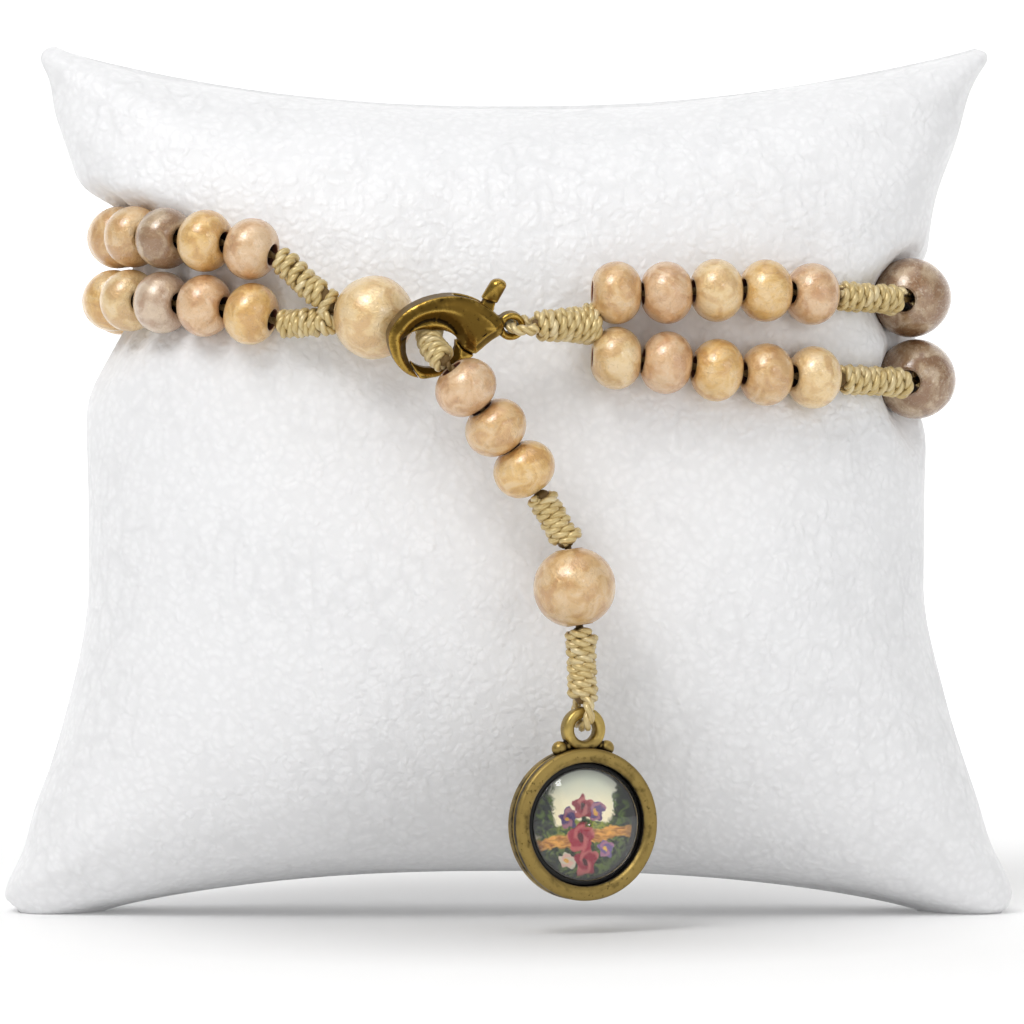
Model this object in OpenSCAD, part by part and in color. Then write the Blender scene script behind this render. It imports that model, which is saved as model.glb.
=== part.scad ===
// Five-decade rosary worn as a doubled bracelet, on an upright display pillow.
// X runs to the right, Y away from the viewer and Z up. The floor is Z = 0.
// The pillow stands on its two bottom corners, centred on the origin.

/* [Beads] */
// Diameter of a small bead
bead_d = 6; // [5:0.1:7]
// Length of a small bead along its hole
bead_l = 4.6; // [4:0.1:6]
// Diameter of a large bead
large_d = 7.8; // [7:0.1:9]
// Length of a large bead along its hole
large_l = 7.2; // [6:0.1:8]
// Diameter of the centre bead where both rows meet
centre_d = 8; // [7:0.1:9]
// Length of the centre bead along its hole
centre_l = 7.4; // [6:0.1:8.5]
// Diameter of the hole through a small bead
hole_d = 2; // [1.8:0.1:2.6]
// Diameter of the hole through a large bead and the centre bead
large_hole_d = 2.4; // [2.2:0.1:3]
// How much rounder than a flat end a bead is, as extra profile radius
bead_round = 0.12; // [0.05:0.01:0.4]

/* [Rows] */
// Small beads between the clasp knot and the first large bead
lead_beads = 5; // [3:1:6]
// Small beads in each decade
decade_beads = 10; // [8:1:11]
// Length of a wound knot
knot_l = 7.8; // [6:0.1:9]
// Stretch of the oval that the last knot takes as it slants down to the centre bead
last_knot_run = 5.6; // [5:0.1:8]
// Length of the knot above the pendant's large bead
short_knot_l = 5.9; // [5:0.1:8]
// Length of the knot above the medal
medal_knot_l = 7.2; // [6:0.1:9]
// Length of the knot that the clasp holds
held_knot_l = 8; // [7:0.1:10]
// Diameter of a wound knot
knot_d = 3.1; // [2.6:0.1:3.6]
// Diameter of the doubled cord that runs through the beads
cord_d = 1.2; // [0.8:0.1:1.4]
// Gap between neighbours on the cord
bead_gap = 0.14; // [0.1:0.01:0.3]
// Gap between the two rows where they run closest
row_gap = 0.2; // [0.15:0.05:1]
// How far the lower row lies outside the upper one
lower_out = 0.5; // [0:0.1:1.5]
// Length of the knot where both rows meet the clasp
clasp_knot_l = 5.8; // [5:0.1:8]
// Diameter of that knot at its flared end
clasp_knot_d = 3.9; // [3:0.1:4.4]

/* [Pillow] */
// Width of the pillow where the bracelet squeezes it
seat_w = 71.4; // [64:0.1:80]
// Width of the pillow at half its height
waist_w = 81.8; // [76:0.1:90]
// Width across the two top corners
top_w = 93; // [86:0.1:100]
// Width across the two bottom corners
foot_w = 98.8; // [92:0.1:106]
// Height of the top edge in the middle
top_z = 79.5; // [74:0.1:90]
// How far the top corners stand above the middle of the top edge
top_rise = 6; // [3:0.1:9]
// Height of the arch under the bottom edge
arch_h = 5.2; // [3:0.1:8]
// How far the pillow swells past the bracelet's seat, front and back
swell = 3; // [2:0.1:6]
// Radius of the corner tips in the front view
tip_r = 2.2; // [1:0.1:4]
// Depth that the soft bottom corners are pressed flat
foot_press = 2.4; // [1.5:0.1:3]
// Gap between the beads and the leather
seat_gap = 0.3; // [0.2:0.05:1]

/* [Bracelet on the pillow] */
// Height of the bracelet at the pillow's middle, before it sags
seat_z = 60.2; // [54:0.1:64]
// Tilt of the bracelet, its left side higher
tilt = 4.7; // [0:0.1:8]
// How far the clasp and strand pull the front of the bracelet down
sag = 3.15; // [0:0.05:5]
// Squareness of the bracelet's oval seen from above, 2 for an ellipse
oval_n = 2.5; // [2:0.1:3]
// Free cord between the centre bead and the clasp knot
clasp_gap = 10.7; // [10:0.1:14]
// Place of the middle of that free stretch, left of the pillow's middle
clasp_shift = 3.8; // [0:0.1:8]

/* [Clasp] */
// Length of the clasp body from the claw's back to the neck
clasp_l = 10.9; // [10.4:0.1:12]
// Height of the clasp body
clasp_h = 7.9; // [7.6:0.1:9]
// Thickness of the clasp body
clasp_t = 2.8; // [2.6:0.1:3.4]
// Radius of the claw's hole
claw_r = 2.4; // [2.3:0.05:2.6]
// Thickness of the lever plate
lever_t = 0.9; // [0.7:0.05:1.2]
// Gap on each side of the lever plate
lever_gap = 0.12; // [0.08:0.01:0.2]
// Diameter of the hinge pin
pin_d = 0.9; // [0.7:0.05:1.2]
// Running clearance round the hinge pin
pin_gap = 0.03; // [0.02:0.01:0.08]
// Angle by which the lever can turn inwards
lever_open = 8; // [4:1:10]
// Length of the thumb nub above the body
nub_l = 2.9; // [2:0.1:4]
// Diameter of the thumb nub
nub_d = 1.4; // [1.2:0.05:1.8]
// Outer radius of the eye
eye_r = 1.35; // [1.3:0.05:1.6]
// Radius of the eye's hole
eye_hole_r = 0.72; // [0.7:0.02:0.8]
// Depth of the eye along its hole
eye_t = 2.1; // [1.8:0.1:2.6]
// Turn of the clasp about the vertical, its left end towards the viewer
clasp_yaw = 14; // [8:1:20]
// Lean of the clasp's top towards the viewer
clasp_lean = 17; // [8:1:22]

/* [Medal] */
// Diameter of the medal
medal_d = 14.4; // [12:0.1:18]
// Thickness of the medal's case
medal_t = 2.7; // [2.4:0.1:4]
// Width of the bezel's face
bezel_w = 1.4; // [1:0.05:2]
// Depth of the recess inside the bezel
recess = 1.1; // [0.9:0.05:1.4]
// Gap between the bezel and the glass dome
dome_gap = 0.4; // [0.2:0.05:0.8]
// Height that the glass dome stands above the bezel
dome_proud = 0.35; // [0.1:0.05:0.8]
// Thickness of the picture disc
picture_t = 0.2; // [0.1:0.05:0.4]
// Outer radius of the medal's ring
ring_r = 1.85; // [1.7:0.05:2.4]
// Wall of the medal's ring
ring_wall = 0.8; // [0.6:0.05:0.9]
// Depth of the medal's ring along its hole
ring_t = 1.6; // [1.2:0.1:2.2]
// Diameter of the cord loops through the eye and the ring
loop_d = 1.1; // [0.9:0.05:1.2]
// Turn of the medal about the vertical, its left side towards the viewer
medal_yaw = 22; // [0:1:30]

/* [Hidden] */

$fn = 48;
wood = [0.84, 0.70, 0.52];
dark_wood = [0.66, 0.53, 0.43];
gold_cord = [0.74, 0.68, 0.45];
brass = [0.47, 0.38, 0.16];
white_leather = [0.93, 0.93, 0.93];

// Small maths
function spow(c, e) = sign(c) * pow(abs(c), e);
function clamp01(t) = max(0, min(1, t));
function smooth(t) = let (k = clamp01(t)) k * k * (3 - 2 * k);
function mix(a, b, t) = a + (b - a) * t;
function unit(v) = v / norm(v);
// Running total of the lengths between the points of a list
function run_length(p) = [for (i = 0, s = 0; i < len(p);
    s = s + (i < len(p) - 1 ? norm(p[i + 1] - p[i]) : 0), i = i + 1) s];
function total(p) = let (s = run_length(p)) s[len(s) - 1];

// Bracelet oval, seen from above. It starts at the front middle and runs to the right.
// Beads touch at their inner shoulders in a bend, so lengths are measured along the line
// through those shoulders, contact_r inside the cord.
contact_r = bead_d * 0.26;
bead_pitch = bead_l + bead_gap;
large_pitch = large_l + bead_gap;
knot_pitch = knot_l + bead_gap;
last_pitch = last_knot_run + bead_gap;
row_len = (lead_beads + 2 * decade_beads) * bead_pitch + 2 * large_pitch + 4 * knot_pitch + last_pitch;
knot_start = clasp_gap / 2 - clasp_shift;
row_start = knot_start + clasp_knot_l + bead_gap;
loop_len = clasp_gap + clasp_knot_l + bead_gap + row_len + centre_l;
loop_a = seat_w / 2 + seat_gap + bead_d / 2;
oval_steps = 144;

function oval(t, b) = [loop_a * spow(sin(t), 2 / oval_n), -b * spow(cos(t), 2 / oval_n)];
function oval_out(t, b) = let (d = unit(oval(t + 0.5, b) - oval(t - 0.5, b))) [d[1], -d[0]];
function inner_line(b) = [for (i = [0 : oval_steps]) let (t = i * 360 / oval_steps)
    oval(t, b) - contact_r * oval_out(t, b)];
// Half depth of the oval whose inner line is as long as the string
function solve_b(low, high, n) = let (b = (low + high) / 2)
    n == 0 ? b : total(inner_line(b)) < loop_len ? solve_b(b, high, n - 1) : solve_b(low, b, n - 1);
loop_b = solve_b(8, 60, 14);

oval_s = run_length(inner_line(loop_b));
function oval_table(k) = [for (i = [0 : oval_steps]) let (t = i * 360 / oval_steps,
    p = oval(t, loop_b), o = oval_out(t, loop_b)) [oval_s[i], [p[0], p[1], o[0], o[1]][k]]];
table_x = oval_table(0);
table_y = oval_table(1);
table_out_x = oval_table(2);
table_out_y = oval_table(3);

// Places of the pieces along a row
first_knot = row_start + lead_beads * bead_pitch;
large_1 = first_knot + knot_pitch + large_l / 2;
decade_1 = large_1 - large_l / 2 + large_pitch + knot_pitch;
third_knot = decade_1 + decade_beads * bead_pitch;
large_2 = third_knot + knot_pitch + large_l / 2;
decade_2 = large_2 - large_l / 2 + large_pitch + knot_pitch;
last_knot = decade_2 + decade_beads * bead_pitch;
row_end = last_knot + last_pitch;
knot_starts = [first_knot, large_1 - large_l / 2 + large_pitch, third_knot,
               large_2 - large_l / 2 + large_pitch, last_knot];
small_starts = concat([for (i = [0 : lead_beads - 1]) row_start + i * bead_pitch],
                      [for (i = [0 : decade_beads - 1]) decade_1 + i * bead_pitch],
                      [for (i = [0 : decade_beads - 1]) decade_2 + i * bead_pitch]);

// Height of the bracelet's middle line at x. q is 1 at the front of the oval and -1 at its back.
// The pull of the clasp reaches sag_left to the left of sag_x and fades over sag_right to its right.
sag_x = -12.5;
sag_left = 9.8;
sag_right = 44;
function line_z(x, q) = let (d = x - sag_x,
    pull = d < 0 ? exp(-pow(-d / sag_left, 3)) : exp(-d / sag_right))
    seat_z - x * tan(tilt) - sag * pull * smooth(q * 2);

// Rows run close together and spread where the large beads need room
spread_near = 20;
spread_far = 32;
hub_half = 0.46;
thin_end = 0.34;
knot_end_half = 1.46;
hub_run = 1.2;
function large_near(s) = min(abs(s - large_1), abs(s - large_2));
function row_half(s) = let (
    w = 1 - smooth((large_near(s) - spread_near) / (spread_far - spread_near)),
    half = (mix(bead_d, large_d, w) + row_gap) / 2)
    mix(mix(half, knot_end_half, smooth((s - last_knot) / (last_knot_run - hub_run))), hub_half,
        smooth((s - row_end + hub_run) / hub_run));
function row_lift(s) =
    (large_d - bead_d) / 2 * (1 - smooth((large_near(s) - large_l / 2) / knot_l))
    + (centre_d - bead_d) / 2 * smooth((s - last_knot) / last_knot_run);
// The lower row leaves the upper one past its first beads and rejoins it at the last knot
function row_out(s) = lower_out * smooth((s - row_start) / spread_far)
    * (1 - smooth((s - last_knot + spread_near) / spread_near));
// Point on the cord of a row, side 1 for the upper row, -1 for the lower and 0 between them
function row_pt(s, side) = let (x = lookup(s, table_x), y = lookup(s, table_y),
    lift = row_lift(s) + (side < 0 ? row_out(s) : 0))
    [x + lookup(s, table_out_x) * lift, y + lookup(s, table_out_y) * lift,
     line_z(x, -y / loop_b) + side * row_half(s)];

// Clasp frame: its origin is the centre of the claw's hole, x along the clasp, z up
// and y away from the viewer
eye_at = [clasp_l * 0.705, 0, clasp_h * 0.22];
pivot_at = [clasp_l * 0.43, 0, clasp_h * 0.18];
function turn_z(v, a) = [v[0] * cos(a) - v[1] * sin(a), v[0] * sin(a) + v[1] * cos(a), v[2]];
function turn_x(v, a) = [v[0], v[1] * cos(a) - v[2] * sin(a), v[1] * sin(a) + v[2] * cos(a)];
function clasp_turned(v) = turn_z(turn_x(v, clasp_lean), clasp_yaw);
knot_tip_gap = 0.35;
eye_world = [knot_start - eye_r - knot_tip_gap,
             -(loop_b + (centre_d - bead_d) / 2 + centre_d / 2) + clasp_t * 0.5,
             line_z(knot_start, 1) - 0.35];
clasp_at = eye_world - clasp_turned(eye_at);
pivot_world = clasp_at + clasp_turned(pivot_at);
pivot_axis = clasp_turned([0, 1, 0]);

// Clasp outline, seen from the front: shares of clasp_l and clasp_h from the hole's centre
clasp_outline = [[-0.385, 0.06], [-0.345, 0.25], [-0.235, 0.42], [-0.085, 0.535], [0.09, 0.595],
                 [0.25, 0.59], [0.41, 0.52], [0.55, 0.385], [0.625, 0.27], [0.615, 0.14],
                 [0.52, 0.04], [0.41, -0.10], [0.27, -0.27], [0.10, -0.39], [-0.06, -0.42],
                 [-0.20, -0.365], [-0.32, -0.20]];
outline_steps = 4;
function spline(p0, p1, p2, p3, t) = 0.5 * (2 * p1 + (p2 - p0) * t
    + (2 * p0 - 5 * p1 + 4 * p2 - p3) * t * t + (3 * p1 - p0 - 3 * p2 + p3) * t * t * t);
function smooth_ring(p, n) = let (c = len(p)) [for (i = [0 : c - 1], k = [0 : n - 1])
    spline(p[(i + c - 1) % c], p[i], p[(i + 1) % c], p[(i + 2) % c], k / n)];
clasp_points = smooth_ring([for (p = clasp_outline) [p[0] * clasp_l, p[1] * clasp_h]], outline_steps);
// The lever closes the claw. Seen from the pin, its gate lies between two radii, so that it can
// turn inwards past the claw's tip, and between two angles.
gate_gap = 0.15;
gate_near = norm([pivot_at[0], pivot_at[2]]) - claw_r - 0.15;
gate_far = 7.24;
gate_to = 197;
gate_from = 300;
gate_share = 0.86;
slot_from = claw_r * 0.86;
slot_to = clasp_l * 0.595;
nub_lean = 16;
nub_foot = [clasp_l * 0.475, clasp_h * 0.42];
nub_clear = 0.95;
pin_fit = 0.01;

// Route of the pendant strand, from the centre bead through the claw and down.
// Columns: right of the hole's centre, in front of the claw's middle plane, above the hole's centre
strand_route = [[-0.6, -3.6, 1.95], [0, -2.3, 1.6], [-0.05, -0.3, 0.5], [0.45, 1.6, -0.7],
                [1.9, 2.95, -2.3], [3.7, 2.5, -4.7], [6.5, 1.3, -8.4], [9.0, 0.3, -12.1],
                [11.1, 0, -15.6], [13, 0, -19.3], [13.6, 0.2, -22.9], [14.1, 0.3, -26.8],
                [14.4, 0.3, -33], [14.4, 0.3, -38]];
centre_end = row_pt(row_end + centre_l, 0);
strand_points = concat([centre_end], [for (p = strand_route) clasp_at + [p[0], -p[1], p[2]]]);
function smooth_line(p, n) = let (c = len(p)) concat([for (i = [0 : c - 2], k = [0 : n - 1])
    spline(p[max(i - 1, 0)], p[i], p[i + 1], p[min(i + 2, c - 1)], k / n)], [p[c - 1]]);
strand_line = smooth_line(strand_points, 6);
strand_s = run_length(strand_line);
function strand_pt(s) = [for (k = [0 : 2])
    lookup(s, [for (i = [0 : len(strand_line) - 1]) [strand_s[i], strand_line[i][k]]])];
strand_gap = bead_gap + 0.11;
hub_gap = 1.5;
strand_pitch = bead_l + strand_gap;
strand_bead_1 = hub_gap + held_knot_l + 2.4 * strand_gap;
strand_knot_2 = strand_bead_1 + 3 * strand_pitch;
strand_large = strand_knot_2 + short_knot_l + strand_gap;
strand_knot_3 = strand_large + large_l + strand_gap;
strand_end = strand_knot_3 + medal_knot_l;

// Medal frame: its origin is the hinge axis, where the cord loop carries the ring.
// Balls beside the ring: angle from the top, rise of the centre above the rim, diameter
ring_balls = [[17, 0.3, 1.3], [11.5, 0.35, 1]];
ring_in = ring_r - ring_wall;
ring_seat = 0.14;
ring_sink = 0.12;
ring_drop = ring_in - loop_d / 2 - ring_seat;
medal_drop = ring_drop + ring_r + medal_d / 2 - ring_sink;
strand_foot = strand_pt(strand_end);
loop_drop = 0.55;
hinge_world = strand_foot - [0, 0, loop_drop + ring_wall + loop_d / 2 + ring_seat];
medal_axis = turn_z([0, 1, 0], medal_yaw);

// A closed tube swept along points, with a radius for each. up is never along the line.
module tube(points, radii, sides, up) {
    n = len(points);
    function dir(i) = unit(points[min(i + 1, n - 1)] - points[max(i - 1, 0)]);
    function across(i) = unit(cross(dir(i), up));
    ring = [for (i = [0 : n - 1]) let (a = across(i), b = cross(a, dir(i)))
        for (k = [0 : sides - 1]) points[i]
            + radii[i] * (cos(360 * k / sides) * a + sin(360 * k / sides) * b)];
    walls = [for (i = [0 : n - 2], k = [0 : sides - 1]) let (j = (k + 1) % sides)
        [i * sides + k, i * sides + j, (i + 1) * sides + j, (i + 1) * sides + k]];
    first_cap = [for (k = [0 : sides - 1]) sides - 1 - k];
    last_cap = [for (k = [0 : sides - 1]) (n - 1) * sides + k];
    polyhedron(ring, concat([first_cap], walls, [last_cap]), convexity = 6);
}

// Shape of a wound knot: share of its length, share of the way from cord radius to knot radius
knot_shape = [[0, 0], [0.02, 0.62], [0.09, 1], [0.3, 0.95], [0.5, 1], [0.7, 0.95], [0.91, 1],
              [0.98, 0.62], [1, 0]];
function knot_stations(start, length, from_r, to_r) =
    [for (k = knot_shape) [start + k[0] * length, mix(from_r, to_r, k[1])]];

// One bead along z, centred, with its hole and rounded shoulders
module bead(d, l, hole) {
    profile_r = l / 2 + bead_round;
    rotate_extrude() intersection() {
        translate([d / 2 - profile_r, 0]) circle(profile_r);
        translate([hole / 2, -l / 2]) square([d / 2, l]);
    }
}

// Turns z to the direction v and moves the origin to p
module along(p, v) {
    translate(p) rotate([0, acos(v[2] / norm(v)), atan2(v[1], v[0])]) children();
}

module row_bead(start, side, d, l, hole) {
    middle = (row_pt(start, side) + row_pt(start + l, side)) / 2;
    along((middle + row_pt(start + l / 2, side)) / 2, row_pt(start + l, side) - row_pt(start, side))
        bead(d, l, hole);
}

module row_beads(side) {
    for (s = small_starts) row_bead(s, side, bead_d, bead_l, hole_d);
}

// The cord of one row, with its five wound knots. It forks from the clasp knot.
fork_run = 1.45;
fork_half = 0.95;
module row_cord(side) {
    fork = row_pt(row_start - fork_run * 0.6, 0) + [0, 0, side * fork_half];
    stations = concat(
        [for (s = concat([row_start - fork_run * 0.3], small_starts)) if (s < first_knot) [s, cord_d / 2]],
        knot_stations(knot_starts[0], knot_l, cord_d / 2, knot_d / 2),
        knot_stations(knot_starts[1], knot_l, cord_d / 2, knot_d / 2),
        [for (s = small_starts) if (s > decade_1 && s < third_knot) [s, cord_d / 2]],
        knot_stations(knot_starts[2], knot_l, cord_d / 2, knot_d / 2),
        knot_stations(knot_starts[3], knot_l, cord_d / 2, knot_d / 2),
        [for (s = small_starts) if (s > decade_2) [s, cord_d / 2]],
        knot_stations(knot_starts[4], last_knot_run - hub_run, cord_d / 2, knot_d / 2 * 0.86),
        [[row_end - 0.25, cord_d * thin_end]]);
    tail = row_pt(row_end, side) + 0.2 * (row_pt(row_end + centre_l, 0) - row_pt(row_end, 0));
    points = concat([fork], [for (t = stations) row_pt(t[0], side)], [tail]);
    radii = concat([cord_d / 2], [for (t = stations) t[1]], [cord_d * thin_end]);
    tube(points, radii, 8, [0, 0, 1]);
}

// The pillow, a stack of oval rings. A ring's points have an angle, a level has a share of the
// height, and both are spaced closer where the leather turns sharply.
ring_steps = 48;
level_steps = 50;
section_n = 2.4;
level_n = 2.5;
min_edge = 0.05;
// Reach of a corner beyond the waist starts at these heights and ends at the edge
top_flare_z = 64;
foot_flare_z = 32;
flare_n = 1.38;
// The groove that the beads press into the leather is wider where it is deeper
groove_in = max(6, 1.15 * (waist_w - seat_w) / 2);
groove_out = groove_in + 4;
foot_n = 3.2;

function bottom_edge(u) = arch_h * (1 - u * u) - foot_press * u * u;
function top_edge(u) = top_z + top_rise * pow(abs(u), 2.28);
function half_width(z) =
    let (top = top_z + top_rise,
         up = clamp01((z - top_flare_z) / (top - top_flare_z)),
         down = clamp01((foot_flare_z - z) / foot_flare_z),
         over = clamp01((z - (top - tip_r)) / tip_r),
         under = clamp01((tip_r - z) / tip_r))
    waist_w / 2 + (top_w - waist_w) / 2 * pow(up, flare_n) + (foot_w - waist_w) / 2 * pow(down, flare_n)
    - tip_r * (1 - sqrt(1 - 0.98 * over * over)) - tip_r * (1 - sqrt(1 - 0.98 * under * under));

function pillow_pt(a, level) =
    let (c = spow(sin(a), 2 / section_n), d = -spow(cos(a), 2 / section_n),
         v = spow(sin(level), 2 / level_n),
         edge = max(min_edge, pow(abs(cos(level)), 2 / level_n)),
         z = mix(bottom_edge(c), top_edge(c), (v + 1) / 2),
         free_w = half_width(z),
         free_d = (loop_b - bead_d / 2 - seat_gap + swell) * edge,
         off = abs(z - line_z(c * free_w, -d)),
         squeeze = 1 - smooth((off - groove_in) / (groove_out - groove_in)),
         w = mix(free_w, min(free_w, seat_w / 2), squeeze),
         t = mix(free_d, min(free_d, loop_b - bead_d / 2 - seat_gap), squeeze),
         foot = pow(clamp01((foot_flare_z - z) / foot_flare_z), 2),
         n = mix(mix(section_n, foot_n, foot), oval_n, squeeze))
    [w * spow(sin(a), 2 / n), -t * spow(cos(a), 2 / n), z];

module pillow() {
    color(white_leather) difference() {
        pillow_skin();
        translate([-foot_w, -foot_w, -foot_w]) cube([2 * foot_w, 2 * foot_w, foot_w]);
    }
}

module pillow_skin() {
    points = [for (j = [0 : level_steps], i = [0 : ring_steps - 1])
        pillow_pt(360 * i / ring_steps, -90 + 180 * j / level_steps)];
    walls = [for (j = [0 : level_steps - 1], i = [0 : ring_steps - 1]) let (k = (i + 1) % ring_steps,
        a = j * ring_steps, b = a + ring_steps)
        each [[a + i, b + i, b + k], [a + i, b + k, a + k]]];
    quarter = ring_steps / 4;
    last = level_steps * ring_steps;
    // The bottom and top rings are closed by strips from the front edge to the back edge
    caps = [for (i = [-quarter : quarter - 1]) let (
        f = (i + ring_steps) % ring_steps, g = (i + 1 + ring_steps) % ring_steps,
        p = (ring_steps / 2 - i) % ring_steps, q = (ring_steps / 2 - i - 1) % ring_steps)
        each (i == -quarter ? [[f, g, q], [last + f, last + q, last + g]]
            : i == quarter - 1 ? [[f, g, p], [last + f, last + p, last + g]]
            : [[f, g, q], [f, q, p], [last + f, last + q, last + g], [last + f, last + p, last + q]])];
    polyhedron(points, concat(walls, caps), convexity = 6);
}

module upper_row_beads() { color(wood) row_beads(1); }
module lower_row_beads() { color(wood) row_beads(-1); }
module large_bead(at, side) {
    color(dark_wood) row_bead(at - large_l / 2, side, large_d, large_l, large_hole_d);
}
module centre_bead() { color(wood) row_bead(row_end, 0, centre_d, centre_l, large_hole_d); }
module upper_row_cord() { color(gold_cord) row_cord(1); }
module lower_row_cord() { color(gold_cord) row_cord(-1); }

// A cord bent into a U through a hole, squarer than a half circle. Its legs run past the hole's
// rim at half_gap on each side, then come together at the distance reach from the hole.
cord_clear = 0.18;
u_round = 0.9;
u_n = 3;
u_slack = 0.06;
leg_join = 0.45;
module cord_u(hole_depth, d, rim, reach) {
    half_gap = hole_depth / 2 + d / 2 + cord_clear;
    rise = half_gap * u_round - u_slack;
    bend = [for (a = [0 : 15 : 180])
        [-half_gap * spow(cos(a), 2 / u_n), rise - half_gap * u_round * spow(sin(a), 2 / u_n)]];
    line = concat([[-d * leg_join, reach], [-half_gap, max(rim, rise + d / 4)]], bend,
                  [[half_gap, max(rim, rise + d / 4)], [d * leg_join, reach]]);
    // x stays 0, y crosses the hole and z points away from the bend
    tube([for (p = line) [0, p[0], p[1]]], [for (p = line) d / 2], 10, [1, 0, 0]);
}

// Knot between the clasp and the fork of the two rows, with the loop that goes through the eye
module clasp_knot() {
    from = eye_world + [eye_r + 2 * knot_tip_gap, 0, 0];
    to = row_pt(row_start - fork_run, 0) - [bead_gap, 0, 0];
    way = to - from;
    shape = [[0, 0.36], [0.05, 0.58], [0.2, 0.66], [0.5, 0.74], [0.8, 0.88], [0.95, 1], [1, 0.7]];
    color(gold_cord) {
        tube([for (k = shape) from + [way[0] * k[0], way[1] * smooth(k[0]), way[2] * smooth(k[0])]],
             [for (k = shape) k[1] * clasp_knot_d / 2], 12, [0, 0, 1]);
        translate(eye_world) rotate([clasp_lean, 0, clasp_yaw]) rotate([0, 90, 0])
            cord_u(eye_t, loop_d, eye_r, eye_r + 3.2 * knot_tip_gap);
    }
}

module clasp_frame() {
    translate(clasp_at) rotate([clasp_lean, 0, clasp_yaw]) children();
}

// Extrudes a front-view shape through the clasp, centred on its middle plane
module plate(t) {
    translate([0, t / 2, 0]) rotate([90, 0, 0]) linear_extrude(t) children();
}

// Ring about the pin between two radii and two angles
module pin_ring(near, far, from, to) {
    inner = [for (k = [12 : -1 : 0]) near * [cos(mix(from, to, k / 12)), sin(mix(from, to, k / 12))]];
    outer = [for (k = [0 : 12]) far * [cos(mix(from, to, k / 12)), sin(mix(from, to, k / 12))]];
    translate([pivot_at[0], pivot_at[2]]) polygon(concat(outer, inner));
}

module across_pin(r, t) {
    translate([pivot_at[0], 0, pivot_at[2]]) rotate([90, 0, 0]) cylinder(r = r, h = t, center = true);
}

// The claw's hole, widened like a countersink on both faces
module claw_hole() {
    edge = clasp_t * 0.28;
    rotate([90, 0, 0]) cylinder(r = claw_r, h = 2 * clasp_t, center = true);
    for (m = [-1, 1]) rotate([90 * m, 0, 0]) translate([0, 0, clasp_t / 2 - edge])
        cylinder(r1 = claw_r, r2 = claw_r + 2 * edge, h = 2 * edge);
}

module clasp_body() {
    color(brass) clasp_frame() difference() {
        union() {
            plate(clasp_t) polygon(clasp_points);
            translate(eye_at) rotate([90, 0, 0]) cylinder(r = eye_r, h = eye_t, center = true);
        }
        claw_hole();
        plate(2 * clasp_t) pin_ring(gate_near, gate_far + gate_gap, gate_to, gate_from);
        plate(lever_t + 2 * lever_gap) translate([slot_from, -clasp_h])
            square([slot_to - slot_from, 2 * clasp_h]);
        across_pin(pin_d / 2, 2 * clasp_t);
        translate(eye_at) rotate([90, 0, 0]) cylinder(r = eye_hole_r, h = 2 * eye_t, center = true);
    }
}

// Lever: the gate that closes the claw, a web round the pin and the thumb nub
module clasp_lever() {
    pin = [pivot_at[0], pivot_at[2]];
    gate_top = gate_to + lever_open + 2;
    nub_way = [sin(nub_lean), cos(nub_lean)];
    color(brass) clasp_frame() difference() {
        union() {
            plate(clasp_t * gate_share) intersection() {
                polygon(clasp_points);
                pin_ring(gate_near + gate_gap, gate_far, gate_top, gate_from);
            }
            plate(lever_t) intersection() {
                polygon(clasp_points);
                union() {
                    pin_ring(0, gate_near + 2 * gate_gap, gate_top, gate_from - 25);
                    translate(pin) circle(pin_d * 1.25);
                }
            }
            plate(lever_t) hull() {
                translate(pin) circle(pin_d * 0.9);
                translate(nub_foot + (nub_clear + 0.5) * nub_way) circle(nub_d * 0.4);
            }
            translate([nub_foot[0], 0, nub_foot[1]]) rotate([0, nub_lean, 0]) {
                translate([0, 0, nub_clear]) cylinder(d = nub_d, h = nub_l - nub_clear);
                translate([0, 0, nub_l]) sphere(d = nub_d);
            }
        }
        claw_hole();
        across_pin(pin_d / 2 + pin_gap, 2 * clasp_t);
    }
}

module clasp_pin() {
    color(brass) clasp_frame() across_pin(pin_d / 2 - pin_fit, clasp_t);
}

// The pendant strand's cord with the knot that the claw holds, two more and the medal's loop
module pendant_cord() {
    start = mix(row_pt(row_end, 0), centre_end, 0.85);
    stations = concat(
        [[0, cord_d / 2]], knot_stations(hub_gap, held_knot_l, cord_d / 2, knot_d / 2 * 0.92),
        [for (i = [0 : 2]) [strand_bead_1 + i * strand_pitch, cord_d / 2]],
        knot_stations(strand_knot_2, short_knot_l, cord_d / 2, knot_d / 2),
        knot_stations(strand_knot_3, medal_knot_l, cord_d / 2, knot_d / 2));
    color(gold_cord) {
        tube(concat([start], [for (t = stations) strand_pt(t[0])]),
             concat([cord_d * thin_end], [for (t = stations) t[1]]), 10, [1, 0, 0]);
        medal_frame() cord_u(ring_t, loop_d, ring_wall + loop_d, strand_foot[2] - hinge_world[2] + 0.7);
    }
}

module strand_bead(start, d, l, hole) {
    color(wood) along((strand_pt(start) + strand_pt(start + l) + 2 * strand_pt(start + l / 2)) / 4,
                      strand_pt(start + l) - strand_pt(start)) bead(d, l, hole);
}

module medal_frame() {
    translate(hinge_world) rotate([0, 0, medal_yaw]) children();
}

// Turns a profile about the medal's own axis. Profile y runs from the back to the front.
module medal_turn() {
    translate([0, 0, -medal_drop]) rotate([90, 0, 0]) rotate_extrude($fn = 72) children();
}

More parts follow.
